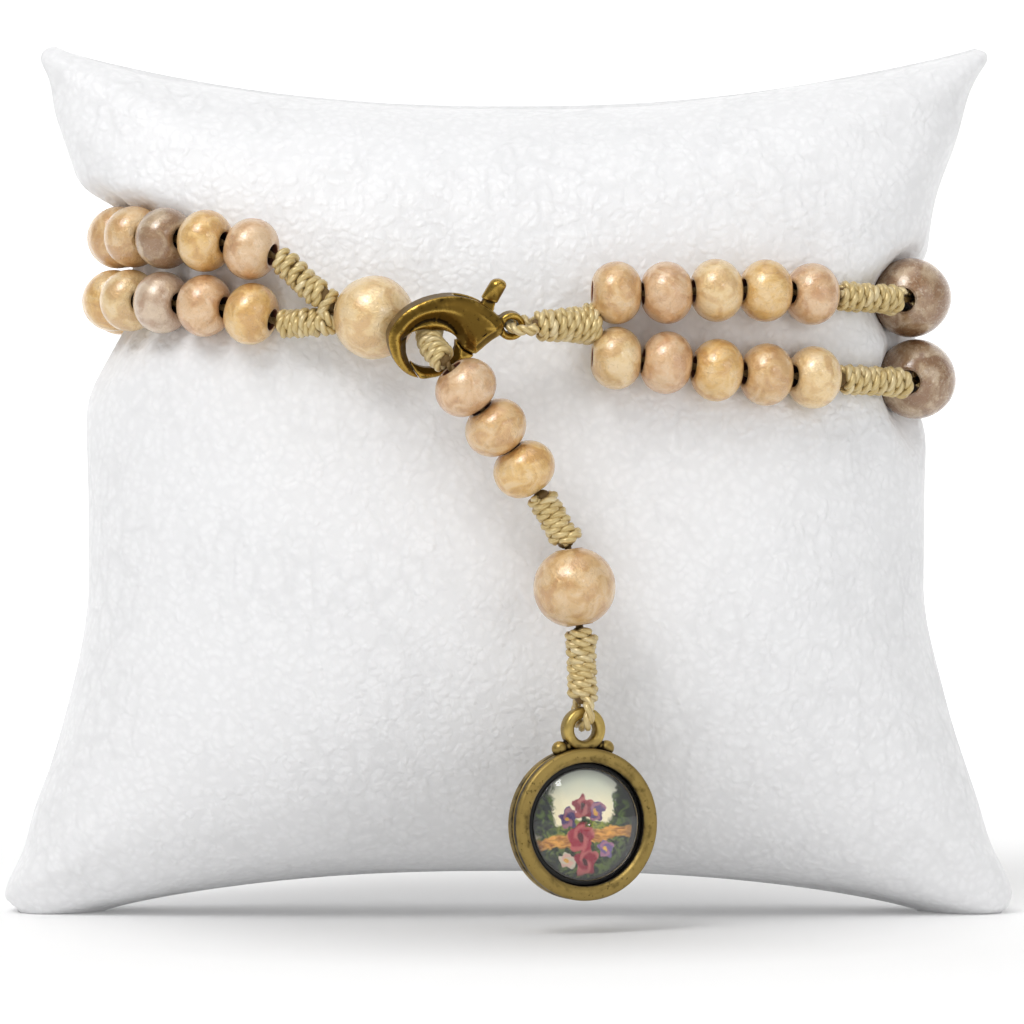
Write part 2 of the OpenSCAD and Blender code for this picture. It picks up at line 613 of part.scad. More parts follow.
module medal_case() {
    out_r = medal_d / 2;
    in_r = out_r - bezel_w;
    round_r = medal_t * 0.16;
    front = medal_t / 2;
    color(brass) medal_frame() {
        difference() {
            union() {
                medal_turn() {
                    translate([0, -front]) square([out_r - round_r, front * 2 - recess]);
                    translate([in_r, -front]) square([out_r - round_r - in_r, 2 * front]);
                    translate([in_r, -front + round_r]) square([out_r - in_r, 2 * (front - round_r)]);
                    translate([out_r - round_r, front - round_r]) circle(round_r);
                    translate([out_r - round_r, -front + round_r]) circle(round_r);
                }
                translate([0, 0, -ring_drop]) rotate([90, 0, 0])
                    cylinder(r = ring_r, h = ring_t, center = true);
                for (m = [-1, 1], b = ring_balls) translate([0, 0, -medal_drop])
                    rotate([0, b[0] * m, 0]) translate([0, 0, out_r + b[1]]) sphere(d = b[2]);
            }
            translate([0, 0, -ring_drop]) rotate([90, 0, 0])
                cylinder(r = ring_in, h = 2 * ring_t, center = true);
        }
    }
}

module medal_picture() {
    color([0.35, 0.45, 0.2]) medal_frame() medal_turn()
        translate([0, medal_t / 2 - recess + 0.02]) square([medal_d / 2 - bezel_w - 0.05, picture_t]);
}

module medal_dome() {
    r = medal_d / 2 - bezel_w - dome_gap;
    base = medal_t / 2 - recess + picture_t + 0.04;
    h = medal_t / 2 + dome_proud - base;
    edge = h * 0.3;
    crown = h - edge;
    ball = (r * r + crown * crown) / (2 * crown);
    color([0.85, 0.9, 0.9, 0.6]) medal_frame() medal_turn() intersection() {
        translate([0, base + h - ball]) circle(ball, $fn = 256);
        translate([0, base]) square([r, h + 1]);
    }
}

// The clasp and the medal stand out at the front, so the part moves back to centre its whole
// depth on the origin
stand_back = 3.18;
module placed(name) {
    translate([0, stand_back, 0]) children();
}

placed("pillow") pillow();
placed("upper_row_beads") upper_row_beads();
placed("lower_row_beads") lower_row_beads();
placed("upper_large_bead_1") large_bead(large_1, 1);
placed("upper_large_bead_2") large_bead(large_2, 1);
placed("lower_large_bead_1") large_bead(large_1, -1);
placed("lower_large_bead_2") large_bead(large_2, -1);
placed("centre_bead") centre_bead();
placed("upper_row_cord") upper_row_cord();
placed("lower_row_cord") lower_row_cord();
placed("clasp_knot") clasp_knot();
placed("clasp_body") clasp_body();
placed("clasp_lever") clasp_lever();
placed("clasp_pin") clasp_pin();
placed("pendant_cord") pendant_cord();
placed("pendant_bead_1") strand_bead(strand_bead_1, bead_d, bead_l, hole_d);
placed("pendant_bead_2") strand_bead(strand_bead_1 + strand_pitch, bead_d, bead_l, hole_d);
placed("pendant_bead_3") strand_bead(strand_bead_1 + 2 * strand_pitch, bead_d, bead_l, hole_d);
placed("pendant_large_bead") strand_bead(strand_large, large_d, large_l, large_hole_d);
placed("medal_case") medal_case();
placed("medal_picture") medal_picture();
placed("medal_dome") medal_dome();
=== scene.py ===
"""A wooden rosary bracelet with a clasp and a picture medal, on a white leather display pillow.

The sizes repeat the solid model's own values, in millimetres, so that every piece lies where its
solid does. Meshes are made in metres.
"""

import logging
import math
from dataclasses import dataclass, field
from enum import Enum
from typing import Any, Callable, Iterable, Mapping, Sequence

import bpy
import numpy as np
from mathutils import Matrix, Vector, noise
from mathutils.kdtree import KDTree

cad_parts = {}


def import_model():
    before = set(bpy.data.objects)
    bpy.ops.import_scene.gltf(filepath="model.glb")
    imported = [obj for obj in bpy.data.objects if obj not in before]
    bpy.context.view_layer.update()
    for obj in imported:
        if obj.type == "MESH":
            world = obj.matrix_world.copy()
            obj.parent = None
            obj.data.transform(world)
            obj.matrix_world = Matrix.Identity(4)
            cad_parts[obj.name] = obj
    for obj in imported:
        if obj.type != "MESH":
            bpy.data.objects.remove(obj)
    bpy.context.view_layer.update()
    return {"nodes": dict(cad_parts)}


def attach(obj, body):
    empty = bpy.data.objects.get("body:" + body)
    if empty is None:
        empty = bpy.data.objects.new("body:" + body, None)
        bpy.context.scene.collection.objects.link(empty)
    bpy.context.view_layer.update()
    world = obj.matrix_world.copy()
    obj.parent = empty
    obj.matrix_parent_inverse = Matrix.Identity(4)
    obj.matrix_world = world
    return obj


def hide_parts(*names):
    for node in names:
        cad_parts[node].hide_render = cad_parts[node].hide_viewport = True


LOG = logging.getLogger("rosary")
MM = 0.001
Array = np.ndarray
Colour = tuple[float, float, float]


# ---------------------------------------------------------------- small maths


def power(value: float, exponent: float) -> float:
    """Raises a value to a power and keeps its sign."""
    return math.copysign(abs(value) ** exponent, value)


def clamp(value: float) -> float:
    """Limits a value to the range from 0 to 1."""
    return max(0.0, min(1.0, value))


def smooth(value: float) -> float:
    """Eases a value from 0 to 1."""
    k = clamp(value)
    return k * k * (3 - 2 * k)


def blend(a: Any, b: Any, share: float) -> Any:
    """Mixes two numbers or two arrays."""
    return a + (b - a) * share


def unit(vector: Array) -> Array:
    """Scales a vector to length 1."""
    return vector / np.linalg.norm(vector)


def spline(p0: Array, p1: Array, p2: Array, p3: Array, t: float) -> Array:
    """Catmull-Rom curve between its two middle points.

    Args:
        p0: Point before the stretch.
        p1: Start of the stretch.
        p2: End of the stretch.
        p3: Point after the stretch.
        t: Share of the stretch, from 0 to 1.

    Returns:
        The point on the curve.
    """
    return 0.5 * (
        2 * p1
        + (p2 - p0) * t
        + (2 * p0 - 5 * p1 + 4 * p2 - p3) * t * t
        + (3 * p1 - p0 - 3 * p2 + p3) * t**3
    )


def turn_x(v: Array, degrees: float) -> Array:
    """Turns a vector about X."""
    c, s = math.cos(math.radians(degrees)), math.sin(math.radians(degrees))
    return np.array([v[0], v[1] * c - v[2] * s, v[1] * s + v[2] * c])


def turn_z(v: Array, degrees: float) -> Array:
    """Turns a vector about Z."""
    c, s = math.cos(math.radians(degrees)), math.sin(math.radians(degrees))
    return np.array([v[0] * c - v[1] * s, v[0] * s + v[1] * c, v[2]])


# ---------------------------------------------------------------- shader building


class Value:
    """A shader value that Python's operators can work on."""

    def __init__(self, shader: "Shader", socket: bpy.types.NodeSocket) -> None:
        """Wraps the output socket of a node in the shader."""
        self.shader = shader
        self.socket = socket

    def _maths(self, operation: str, *values: Any, clamped: bool = False) -> "Value":
        """Adds a Math node on the given values and returns its result."""
        return self.shader.node(
            "ShaderNodeMath",
            {"operation": operation, "use_clamp": clamped},
            dict(enumerate(values)),
        )

    def __add__(self, other: "Value | float") -> "Value":
        """Adds."""
        return self._maths("ADD", self, other)

    def __radd__(self, other: float) -> "Value":
        """Adds, reflected."""
        return self._maths("ADD", other, self)

    def __sub__(self, other: "Value | float") -> "Value":
        """Subtracts."""
        return self._maths("SUBTRACT", self, other)

    def __rsub__(self, other: float) -> "Value":
        """Subtracts, reflected."""
        return self._maths("SUBTRACT", other, self)

    def __mul__(self, other: "Value | float") -> "Value":
        """Multiplies."""
        return self._maths("MULTIPLY", self, other)

    def __rmul__(self, other: float) -> "Value":
        """Multiplies, reflected."""
        return self._maths("MULTIPLY", other, self)

    def __pow__(self, other: float) -> "Value":
        """Raises to a power."""
        return self._maths("POWER", self, other)

    def clamped(self) -> "Value":
        """Limits the value to the range from 0 to 1."""
        return self._maths("ADD", self, 0.0, clamped=True)

    def step(self, low: float, high: float) -> "Value":
        """Eases from 0 at low to 1 at high."""
        return self.shader.node(
            "ShaderNodeMapRange",
            {"interpolation_type": "SMOOTHSTEP", "clamp": True},
            {"Value": self, "From Min": low, "From Max": high},
        )

    def wave(self) -> "Value":
        """Takes the sine."""
        return self._maths("SINE", self)


class Shader:
    """A material's node tree around one Principled shader."""

    def __init__(self, name: str) -> None:
        """Starts a material with the given name."""
        self.material = bpy.data.materials.new(name)
        self.material.use_nodes = True
        self.tree = self.material.node_tree
        self.tree.nodes.clear()
        self.surface = self.tree.nodes.new("ShaderNodeBsdfPrincipled")
        self.output = self.tree.nodes.new("ShaderNodeOutputMaterial")
        self.tree.links.new(self.surface.outputs[0], self.output.inputs["Surface"])

    def node(
        self,
        kind: str,
        settings: Mapping[str, Any] | None = None,
        values: Mapping[Any, Any] | None = None,
        result: str | int = 0,
    ) -> Value:
        """Adds a node.

        Args:
            kind: The node's type.
            settings: Its properties, set first. stops gives a colour ramp's places and colours.
            values: The values or links of its sockets, by name or number.
            result: The output to return, by name or number.

        Returns:
            The chosen output as a value.
        """
        made = self.tree.nodes.new(kind)
        for name, setting in (settings or {}).items():
            if name == "stops":
                self._set_stops(made.color_ramp, setting)
            else:
                setattr(made, name, setting)
        for name, value in (values or {}).items():
            self._set(self._find(made.inputs, name), value)
        return Value(self, self._find(made.outputs, result))

    @staticmethod
    def _find(sockets: Any, name: str | int) -> bpy.types.NodeSocket:
        """Finds a socket by number, or the enabled one of that name."""
        if isinstance(name, int):
            return sockets[name]
        return next(s for s in sockets if s.name == name and s.enabled)

    @staticmethod
    def _set_stops(ramp: bpy.types.ColorRamp, stops: Sequence[tuple[float, Colour]]) -> None:
        """Gives a colour ramp its stops."""
        while len(ramp.elements) < len(stops):
            ramp.elements.new(1.0)
        for element, (place, colour) in zip(ramp.elements, stops):
            element.position = place
            element.color = (*colour, 1.0)

    def _set(self, socket: bpy.types.NodeSocket, value: Any) -> None:
        """Links a value to a socket, or sets it there."""
        if isinstance(value, Value):
            self.tree.links.new(value.socket, socket)
        elif socket.type == "RGBA" and len(value) == 3:
            socket.default_value = (*value, 1.0)
        else:
            socket.default_value = value

    def set(self, **values: Any) -> None:
        """Sets sockets of the Principled shader, with _ for a space in a socket's name."""
        for name, value in values.items():
            self._set(self.surface.inputs[name.replace("_", " ")], value)

    def read(self, name: str, result: str = "Fac") -> Value:
        """Reads a mesh attribute."""
        return self.node("ShaderNodeAttribute", {"attribute_name": name}, result=result)

    def mix(self, share: Value | float, a: Any, b: Any, way: str = "MIX") -> Value:
        """Mixes two colours.

        Args:
            share: How much of b.
            a: First colour.
            b: Second colour.
            way: Blend type.

        Returns:
            The mixed colour.
        """
        made = self.tree.nodes.new("ShaderNodeMix")
        made.data_type = "RGBA"
        made.blend_type = way
        self._set(made.inputs[0], share)
        self._set(made.inputs[6], a)
        self._set(made.inputs[7], b)
        return Value(self, made.outputs[2])

    def cloud(self, place: Value, scale: float, detail: float = 3.0, twist: float = 0.0) -> Value:
        """Noise from about 0 to 1 at a place, with scale in cells per unit."""
        values = {"Vector": place, "Scale": scale, "Detail": detail, "Distortion": twist}
        return self.node("ShaderNodeTexNoise", None, values)

    def stretched(self, place: Value, scale: Colour) -> Value:
        """Scales a place differently along its three axes."""
        return self.node(
            "ShaderNodeVectorMath", {"operation": "MULTIPLY"}, {0: place, 1: scale}
        )

    def bump(self, *layers: tuple[Value, float, float]) -> None:
        """Drives the normal by height layers.

        Args:
            layers: For each, its height value, its strength and its depth in metres.
        """
        normal: Value | None = None
        for height, strength, depth in layers:
            values = {"Height": height, "Strength": strength, "Distance": depth}
            if normal is not None:
                values["Normal"] = normal
            normal = self.node("ShaderNodeBump", None, values)
        self.set(Normal=normal)


# ---------------------------------------------------------------- finishes


def paint(red: int, green: int, blue: int) -> Colour:
    """Turns a colour of 0 to 255 a channel into the linear one that shaders use."""

    def channel(value: int) -> float:
        """Turns one channel into its linear value."""
        k = value / 255
        return k / 12.92 if k <= 0.04045 else ((k + 0.055) / 1.055) ** 2.4

    return (channel(red), channel(green), channel(blue))


class Tone(Enum):
    """Colour of a bead's pearly lacquer."""

    TAN = paint(222, 182, 124)
    CREAM = paint(236, 204, 146)
    HONEY = paint(232, 190, 116)
    ROSE = paint(222, 181, 134)
    TAUPE = paint(164, 134, 100)
    SILVER = paint(208, 182, 156)
    BROWN = paint(156, 122, 86)


@dataclass(frozen=True)
class PearlWood:
    """Wooden bead under a pearly lacquer, with near-black painted shade deep in its bore. Its mesh
    tells its tone, its grain place and its bore.
    """

    name: str = "pearl_wood"
    grain_scale: float = 0.55
    fleck_scale: float = 1.5
    ripple_depth: float = 0.00016
    fleck_depth: float = 0.00005

    def material(self) -> bpy.types.Material:
        """Builds the material."""
        s = Shader(self.name)
        tone = s.read("tone", "Color")
        place = s.read("grain", "Vector")
        dark = s.read("dark")
        clouds = s.cloud(place, self.grain_scale, 2.0, 0.8)
        ripples = s.cloud(s.stretched(place, (2.6, 2.6, 1.7)), 1.0, 4.0, 1.6)
        curls = s.cloud(place, self.fleck_scale, 5.0, 2.2)
        shaded = s.mix(clouds.step(0.56, 0.36) * 0.4, tone, paint(196, 150, 104), "MULTIPLY")
        shaded = s.mix(clouds.step(0.46, 0.7) * 0.34, shaded, paint(246, 226, 194))
        shaded = s.mix(curls.step(0.54, 0.68) * (0.16 + 0.22 * dark), shaded, paint(124, 86, 54))
        shaded = s.mix(ripples.step(0.5, 0.72) * (0.16 + 0.1 * dark), shaded, paint(250, 234, 208))
        bore = s.read("bore")
        rim = bore.step(0.05, 0.5)
        # The bore's lip turns reddish-brown bare wood; deeper in, the colour is painted near black
        # as shade.
        shaded = s.mix(rim, shaded, paint(112, 58, 36))
        shaded = s.mix(bore.step(0.5, 1.0), shaded, paint(26, 13, 9))
        rough = 0.34 + 0.14 * curls + 0.4 * rim
        s.set(Base_Color=shaded, Roughness=rough, Metallic=0.34 - 0.34 * rim)
        s.set(Coat_Weight=1 - rim, Coat_Roughness=0.2, Coat_IOR=1.7)
        s.bump((ripples, 0.8, self.ripple_depth), (curls, 0.35, self.fleck_depth))
        return s.material


@dataclass(frozen=True)
class TwistedCord:
    """Satin gold cord, painted darker as shade where it lies deep. Its mesh tells how deep a point
    lies and its place on the thread.
    """

    name: str = "twisted_cord"
    face: Colour = paint(214, 192, 136)
    # Colour of the painted shade where the cord lies deep.
    groove: Colour = paint(110, 84, 40)
    glint: Colour = paint(250, 240, 208)

    def material(self) -> bpy.types.Material:
        """Builds the material."""
        s = Shader(self.name)
        depth = s.read("depth")
        place = s.read("thread", "Vector")
        fibres = s.cloud(s.stretched(place, (1.2, 9.0, 1.0)), 1.0, 3.0)
        patches = s.cloud(place, 0.28, 2.0)
        colour = s.mix(fibres.step(0.3, 0.66), paint(192, 166, 106), self.face)
        colour = s.mix(patches.step(0.5, 0.72) * 0.4, colour, self.glint)
        # Painted shade: the deeper a point lies, in the plies' grooves, the knots' cores and the
        # cord inside the beads, the darker it is.
        colour = s.mix(depth.step(0.2, 0.9), colour, self.groove)
        s.set(Base_Color=colour, Roughness=0.33 + 0.3 * depth, Metallic=0.42 - 0.42 * depth)
        s.set(Coat_Weight=0.7 - 0.7 * depth, Coat_Roughness=0.24)
        s.bump((fibres, 0.4, 0.00004))
        return s.material


@dataclass(frozen=True)
class AgedBrass:
    """Cast brass, dark in its hollows and rubbed bright on its edges, with painted shade in a
    marked recess.
    """

    name: str = "aged_brass"
    bright: Colour = paint(198, 162, 78)
    body: Colour = paint(104, 80, 30)
    patina: Colour = paint(40, 29, 11)
    rough: float = 0.33
    # Near-black painted shade for the medal's recess.
    enamel: Colour = paint(14, 12, 11)

    def material(self) -> bpy.types.Material:
        """Builds the material."""
        s = Shader(self.name)
        wear = s.read("wear")
        enamel = s.read("enamel")
        place = s.node("ShaderNodeTexCoord", result="Object")
        clouds = s.cloud(place, 520.0, 4.0, 0.6)
        pits = s.cloud(place, 2600.0, 3.0)
        worn = (wear + 0.55 * (clouds - 0.5) + 0.2 * (pits - 0.5)).clamped()
        colour = s.mix(worn.step(0.12, 0.42), self.patina, self.body)
        colour = s.mix(worn.step(0.6, 1.0) * 0.7, colour, self.bright)
        colour = s.mix(pits.step(0.36, 0.3) * 0.6, colour, self.patina)
        # Painted shade: the marked recess is coloured near black, and is smoother and not metallic
        # there.
        colour = s.mix(enamel, colour, self.enamel)
        rough = self.rough + 0.14 * pits - 0.14 * worn.step(0.4, 0.9) - 0.2 * enamel
        s.set(Base_Color=colour, Metallic=0.94 - 0.94 * enamel, Roughness=rough)
        s.bump((pits, 0.3, 0.00003), (clouds, 0.3, 0.00006))
        return s.material


@dataclass(frozen=True)
class PebbledLeather:
    """White soft leather with a fine pebble grain and fine creases."""

    name: str = "pebbled_leather"
    pebble: float = 1250.0
    crease: float = 420.0
    white: Colour = paint(243, 243, 244)
    grey: Colour = paint(222, 222, 223)

    def material(self) -> bpy.types.Material:
        """Builds the material."""
        s = Shader(self.name)
        place = s.node("ShaderNodeTexCoord", result="Object")
        warped = s.node(
            "ShaderNodeVectorMath", {"operation": "MULTIPLY_ADD"},
            {0: s.node("ShaderNodeTexNoise", None,
                       {"Vector": place, "Scale": 420.0, "Detail": 3.0}, "Color"),
             1: (0.0014, 0.0014, 0.0014), 2: place},
        )
        cells = s.node("ShaderNodeTexVoronoi", {"feature": "SMOOTH_F1"},
                       {"Vector": warped, "Scale": self.pebble, "Smoothness": 0.35}, "Distance")
        pebbles = cells.step(0.75, 0.12)
        drawn = s.stretched(warped, (self.crease, self.crease, self.crease * 0.6))
        folds = s.node("ShaderNodeTexVoronoi", {"feature": "DISTANCE_TO_EDGE"},
                       {"Vector": drawn, "Scale": 1.0}, "Distance")
        patches = s.cloud(place, 110.0, 3.0, 0.5)
        creases = folds.step(0.0, 0.2) * 0.9 + 0.1
        wrinkles = s.cloud(s.stretched(warped, (420.0, 420.0, 300.0)), 1.0, 4.0, 1.6)
        low = (1 - creases) * patches.step(0.4, 0.6)
        # Painted shade: the valleys between pebbles and the low creases are coloured grey.
        colour = s.mix(pebbles * 0.3 + 0.7, self.grey, self.white)
        colour = s.mix(low * 0.35, colour, self.grey)
        s.set(Base_Color=colour, Roughness=0.46 - 0.08 * pebbles + 0.1 * low)
        s.set(Specular_IOR_Level=0.5)
        s.bump((wrinkles, 0.3, 0.00028), (low, 0.3, -0.00012), (pebbles, 0.5, 0.00012))
        return s.material


@dataclass(frozen=True)
class ClearDome:
    """Clear domed glass."""

    name: str = "clear_dome"

    def material(self) -> bpy.types.Material:
        """Builds the material."""
        s = Shader(self.name)
        s.set(Base_Color=(1.0, 1.0, 1.0), Roughness=0.03, IOR=1.4, Transmission_Weight=1.0)
        return s.material


@dataclass(frozen=True)
class GardenPrint:
    """Round painted garden: cream sky, dark trees, an ochre field and flowers."""

    name: str = "garden_print"

    def material(self) -> bpy.types.Material:
        """Builds the material. The mesh gives the place on the disc in shares of its radius."""
        s = Shader(self.name)
        place = s.read("disc", "Vector")
        daub = s.node("ShaderNodeTexNoise", None,
                      {"Vector": place, "Scale": 3.4, "Detail": 4.0}, "Color")
        painted = s.node(
            "ShaderNodeVectorMath", {"operation": "MULTIPLY_ADD"},
            {0: daub, 1: (0.28, 0.28, 0.0), 2: place},
        )
        split = s.node("ShaderNodeSeparateXYZ", None, {0: painted}, "X")
        across = split - 0.14
        up = Value(s, split.socket.node.outputs["Y"]) - 0.14
        strokes = s.cloud(s.stretched(place, (5.0, 14.0, 1.0)), 1.0, 4.0, 0.8)
        leaves = s.cloud(place, 8.0, 5.0, 1.2)
        wide = across * across
        colour = s.mix(up.step(0.1, 0.9), paint(250, 240, 206), paint(206, 212, 196))
        hills = (up + 0.4 * wide - 0.12 * leaves).step(0.04, 0.0)
        grass = s.mix(leaves.step(0.4, 0.62), paint(44, 76, 20), paint(150, 158, 52))
        colour = s.mix(hills, colour, grass)
        trees = (wide + 0.34 * leaves - 0.1 * up).step(0.4, 0.5) * up.step(-0.25, -0.12)
        green = s.mix(leaves.step(0.44, 0.66), paint(10, 22, 8), paint(84, 108, 34))
        colour = s.mix(trees, colour, green)
        slope = up - 0.12 * across
        band = slope.step(-0.11, -0.15)
        corn = s.mix(strokes.step(0.3, 0.7), paint(158, 92, 22), paint(240, 182, 84))
        colour = s.mix(band, colour, corn)
        beds = (slope + 0.1 * leaves).step(-0.26, -0.31)
        bushes = s.mix(leaves.step(0.42, 0.64), paint(14, 30, 10), paint(96, 116, 44))
        colour = s.mix(beds, colour, bushes)
        stalk = (wide + 0.004 * strokes).step(0.006, 0.003) * up.step(0.4, 0.3)
        colour = s.mix(stalk, colour, paint(30, 52, 18))
        for x, y, size, petal, heart in (
            (-0.30, -0.62, 0.15, paint(206, 196, 176), paint(214, 160, 60)),
            (0.42, -0.42, 0.15, paint(118, 96, 150), paint(232, 190, 80)),
            (-0.26, 0.10, 0.17, paint(74, 52, 108), paint(220, 170, 64)),
            (0.24, 0.20, 0.17, paint(92, 66, 124), paint(220, 170, 64)),
            (0.04, -0.62, 0.24, paint(150, 28, 52), paint(70, 8, 18)),
            (-0.03, -0.22, 0.26, paint(168, 36, 60), paint(84, 8, 20)),
            (0.0, 0.30, 0.2, paint(140, 24, 46), paint(66, 6, 16)),
        ):
            colour = self._flower(s, colour, (across - x, up - y), size, petal, heart)
        edge = s.node("ShaderNodeVectorMath", {"operation": "LENGTH"}, {0: place}, "Value")
        # The picture darkens towards its rim; the black ring at its rim is painted shade of the
        # recess wall.
        colour = s.mix(edge.step(0.7, 0.95) * 0.5, colour, paint(60, 50, 30), "MULTIPLY")
        colour = s.mix(edge.step(0.885, 0.915), colour, paint(8, 7, 6))
        s.set(Base_Color=colour, Roughness=0.5 + 0.12 * strokes)
        return s.material

    @staticmethod
    def _flower(
        s: Shader, under: Value, place: tuple[Value, Value], size: float, petal: Colour,
        heart: Colour,
    ) -> Value:
        """Paints a flower with five petals.

        Args:
            s: The shader.
            under: The colour below the flower.
            place: Distances across and up from the flower's middle.
            size: Its radius.
            petal: Colour of its petals.
            heart: Colour of its middle.

        Returns:
            The colour with the flower on it.
        """
        across, up = place
        reach = (across * across + up * up) ** 0.5
        turn = s.node("ShaderNodeMath", {"operation": "ARCTAN2"}, {0: up, 1: across})
        lobes = (5.0 * turn).wave()
        fold = (reach * (26.0 / size * 0.27) + turn * 2.0).wave()
        cover = (reach - size * 0.14 * lobes).step(size, size * 0.86)
        shaded = s.mix(fold.step(-0.6, 0.9) * 0.4, petal, paint(232, 150, 140))
        shaded = s.mix(reach.step(size * 0.34, size * 0.16), shaded, heart)
        return s.mix(cover, under, shaded)


@dataclass(frozen=True)
class StudioFloor:
    """White studio floor that glows faintly near the pillow and more far off, with a painted shadow
    greying it under the pillow.
    """

    name: str = "studio_floor"
    glow_near: float = 0.08
    glow_far: float = 0.6
    shade: float = 0.68
    shade_reach: Colour = (27.0, 22.0, 0.0)

    def material(self) -> bpy.types.Material:
        """Builds the material."""
        s = Shader(self.name)
        place = s.node("ShaderNodeTexCoord", result="Object")
        spread = s.node("ShaderNodeVectorMath", {"operation": "LENGTH"},
                        {0: s.node("ShaderNodeVectorMath", {"operation": "MULTIPLY"},
                                   {0: place, 1: self.shade_reach})}, "Value")
        # Painted shadow: the floor's colour turns grey in an oval round the pillow's place.
        shade = s.mix(spread.step(1.5, 0.5), (0.92, 0.92, 0.92), (self.shade,) * 3)
        s.set(Base_Color=shade, Roughness=0.8)
        away = s.node("ShaderNodeSeparateXYZ", None, {0: place}, "Y")
        near, far = (self.glow_near,) * 3, (self.glow_far,) * 3
        s.set(Emission_Color=s.mix(away.step(0.05, 0.4), near, far), Emission_Strength=1.0)
        return s.material


# ---------------------------------------------------------------- mesh making


@dataclass
class Skin:
    """Points, faces and per-point values of a mesh under construction, in millimetres."""

    points: list[Array] = field(default_factory=list)
    faces: list[tuple[int, ...]] = field(default_factory=list)
    values: dict[str, list[Any]] = field(default_factory=dict)

    def add(self, points: Array, faces: Iterable[Sequence[int]], **values: Any) -> None:
        """Adds a piece of surface.

        Args:
            points: Its points, one row each.
            faces: Its faces, as rows of point numbers.
            values: For each attribute, one value for every point or one for all of them.
        """
        start = sum(len(p) for p in self.points)
        self.points.append(np.asarray(points, dtype=float))
        self.faces.extend(tuple(int(i) + start for i in face) for face in faces)
        for name, value in values.items():
            row = np.asarray(value, dtype=float)
            wide = 1 if row.ndim == 0 or (row.ndim == 1 and len(row) == len(points)) else 3
            full = np.broadcast_to(row if row.ndim != 1 or wide == 1 else row[None, :],
                                   (len(points),) if wide == 1 else (len(points), 3))
            self.values.setdefault(name, []).append(np.array(full))

    def build(self, name: str, material: bpy.types.Material) -> bpy.types.Object:
        """Makes the object.

        Args:
            name: The object's name.
            material: Its material.

        Returns:
            The object, smooth-shaded, with its attributes.
        """
        mesh = bpy.data.meshes.new(name)
        mesh.from_pydata(np.concatenate(self.points) * MM, [], self.faces)
        mesh.validate()
        for key, rows in self.values.items():
            data = np.concatenate(rows)
            if data.ndim == 1:
                mesh.attributes.new(key, "FLOAT", "POINT").data.foreach_set("value", data)
            elif key == "tone":
                wide = np.concatenate([data, np.ones((len(data), 1))], axis=1)
                marks = mesh.attributes.new(key, "FLOAT_COLOR", "POINT")
                marks.data.foreach_set("color", wide.ravel())
            else:
                marks = mesh.attributes.new(key, "FLOAT_VECTOR", "POINT")
                marks.data.foreach_set("vector", data.ravel())
        mesh.shade_smooth()
        mesh.materials.append(material)
        made = bpy.data.objects.new(name, mesh)
        bpy.context.scene.collection.objects.link(made)
        return made


def grid(rows: int, columns: int, around: bool = True) -> Array:
    """Lists the four-sided faces between rows of points.

    Args:
        rows: Number of rows.
        columns: Number of points in each row.
        around: Whether each row closes on itself.

    Returns:
        One row of four point numbers per face.
    """
    wide = columns if around else columns - 1
    i, j = np.meshgrid(np.arange(rows - 1), np.arange(wide), indexing="ij")
    k = (j + 1) % columns
    a, b = i * columns, (i + 1) * columns
    return np.stack([a + j, a + k, b + k, b + j], axis=-1).reshape(-1, 4)


def frames_along(points: Array) -> tuple[Array, Array, Array]:
    """Finds a direction and two steady cross directions at each point of a line."""
    ahead = np.gradient(points, axis=0)
    ahead /= np.linalg.norm(ahead, axis=1)[:, None]
    side = np.zeros_like(points)
    start = np.array([0.0, 0.0, 1.0]) if abs(ahead[0][2]) < 0.9 else np.array([1.0, 0.0, 0.0])
    side[0] = unit(np.cross(ahead[0], start))
    for i in range(1, len(points)):
        side[i] = unit(side[i - 1] - ahead[i] * np.dot(side[i - 1], ahead[i]))
    return ahead, side, np.cross(ahead, side)


def tube(skin: Skin, points: Array, radii: Array, sides: int, depth: Array | float,
         seed: float) -> None:
    """Adds a tube along a line.

    Args:
        skin: The mesh to add to.
        points: The line.
        radii: Radius at each point.
        sides: Points around the tube.
        depth: How far each point of the line lies from the outside, from 0 to 1.
        seed: Moves the fibres' pattern.
    """
    _, side, other = frames_along(points)
    turn = np.linspace(0, 2 * np.pi, sides, endpoint=False)
    radii = np.broadcast_to(radii, (len(points),))
    rings = (
        points[:, None, :]
        + (radii[:, None] * np.cos(turn))[:, :, None] * side[:, None, :]
        + (radii[:, None] * np.sin(turn))[:, :, None] * other[:, None, :]
    )
    run = np.concatenate([[0], np.cumsum(np.linalg.norm(np.diff(points, axis=0), axis=1))])
    round_x, round_y = (np.sin(turn) * 0.6)[None, :], np.cos(turn)[None, :] * 0.6 + seed
    thread = np.stack(np.broadcast_arrays(run[:, None], round_x, round_y), axis=-1)
    deep = np.broadcast_to(np.broadcast_to(depth, (len(points),))[:, None], rings.shape[:2])
    faces = [*grid(len(points), sides), range(sides - 1, -1, -1),
             range((len(points) - 1) * sides, len(points) * sides)]
    skin.add(rings.reshape(-1, 3), faces, depth=deep.reshape(-1), thread=thread.reshape(-1, 3))


def lathe(profile: Array, steps: int) -> tuple[Array, Array]:
    """Turns a closed profile about z.

    Args:
        profile: Rows of radius and height.
        steps: Points around.

    Returns:
        The points and the faces.
    """
    turn = np.linspace(0, 2 * np.pi, steps, endpoint=False)
    rings = np.stack(
        [profile[:, :1] * np.cos(turn), profile[:, :1] * np.sin(turn),
         np.broadcast_to(profile[:, 1:], (len(profile), steps))],
        axis=-1,
    )
    closed = np.concatenate([rings, rings[:1]])
    faces = grid(len(profile) + 1, steps) % (len(profile) * steps)
    return closed[:-1].reshape(-1, 3), faces


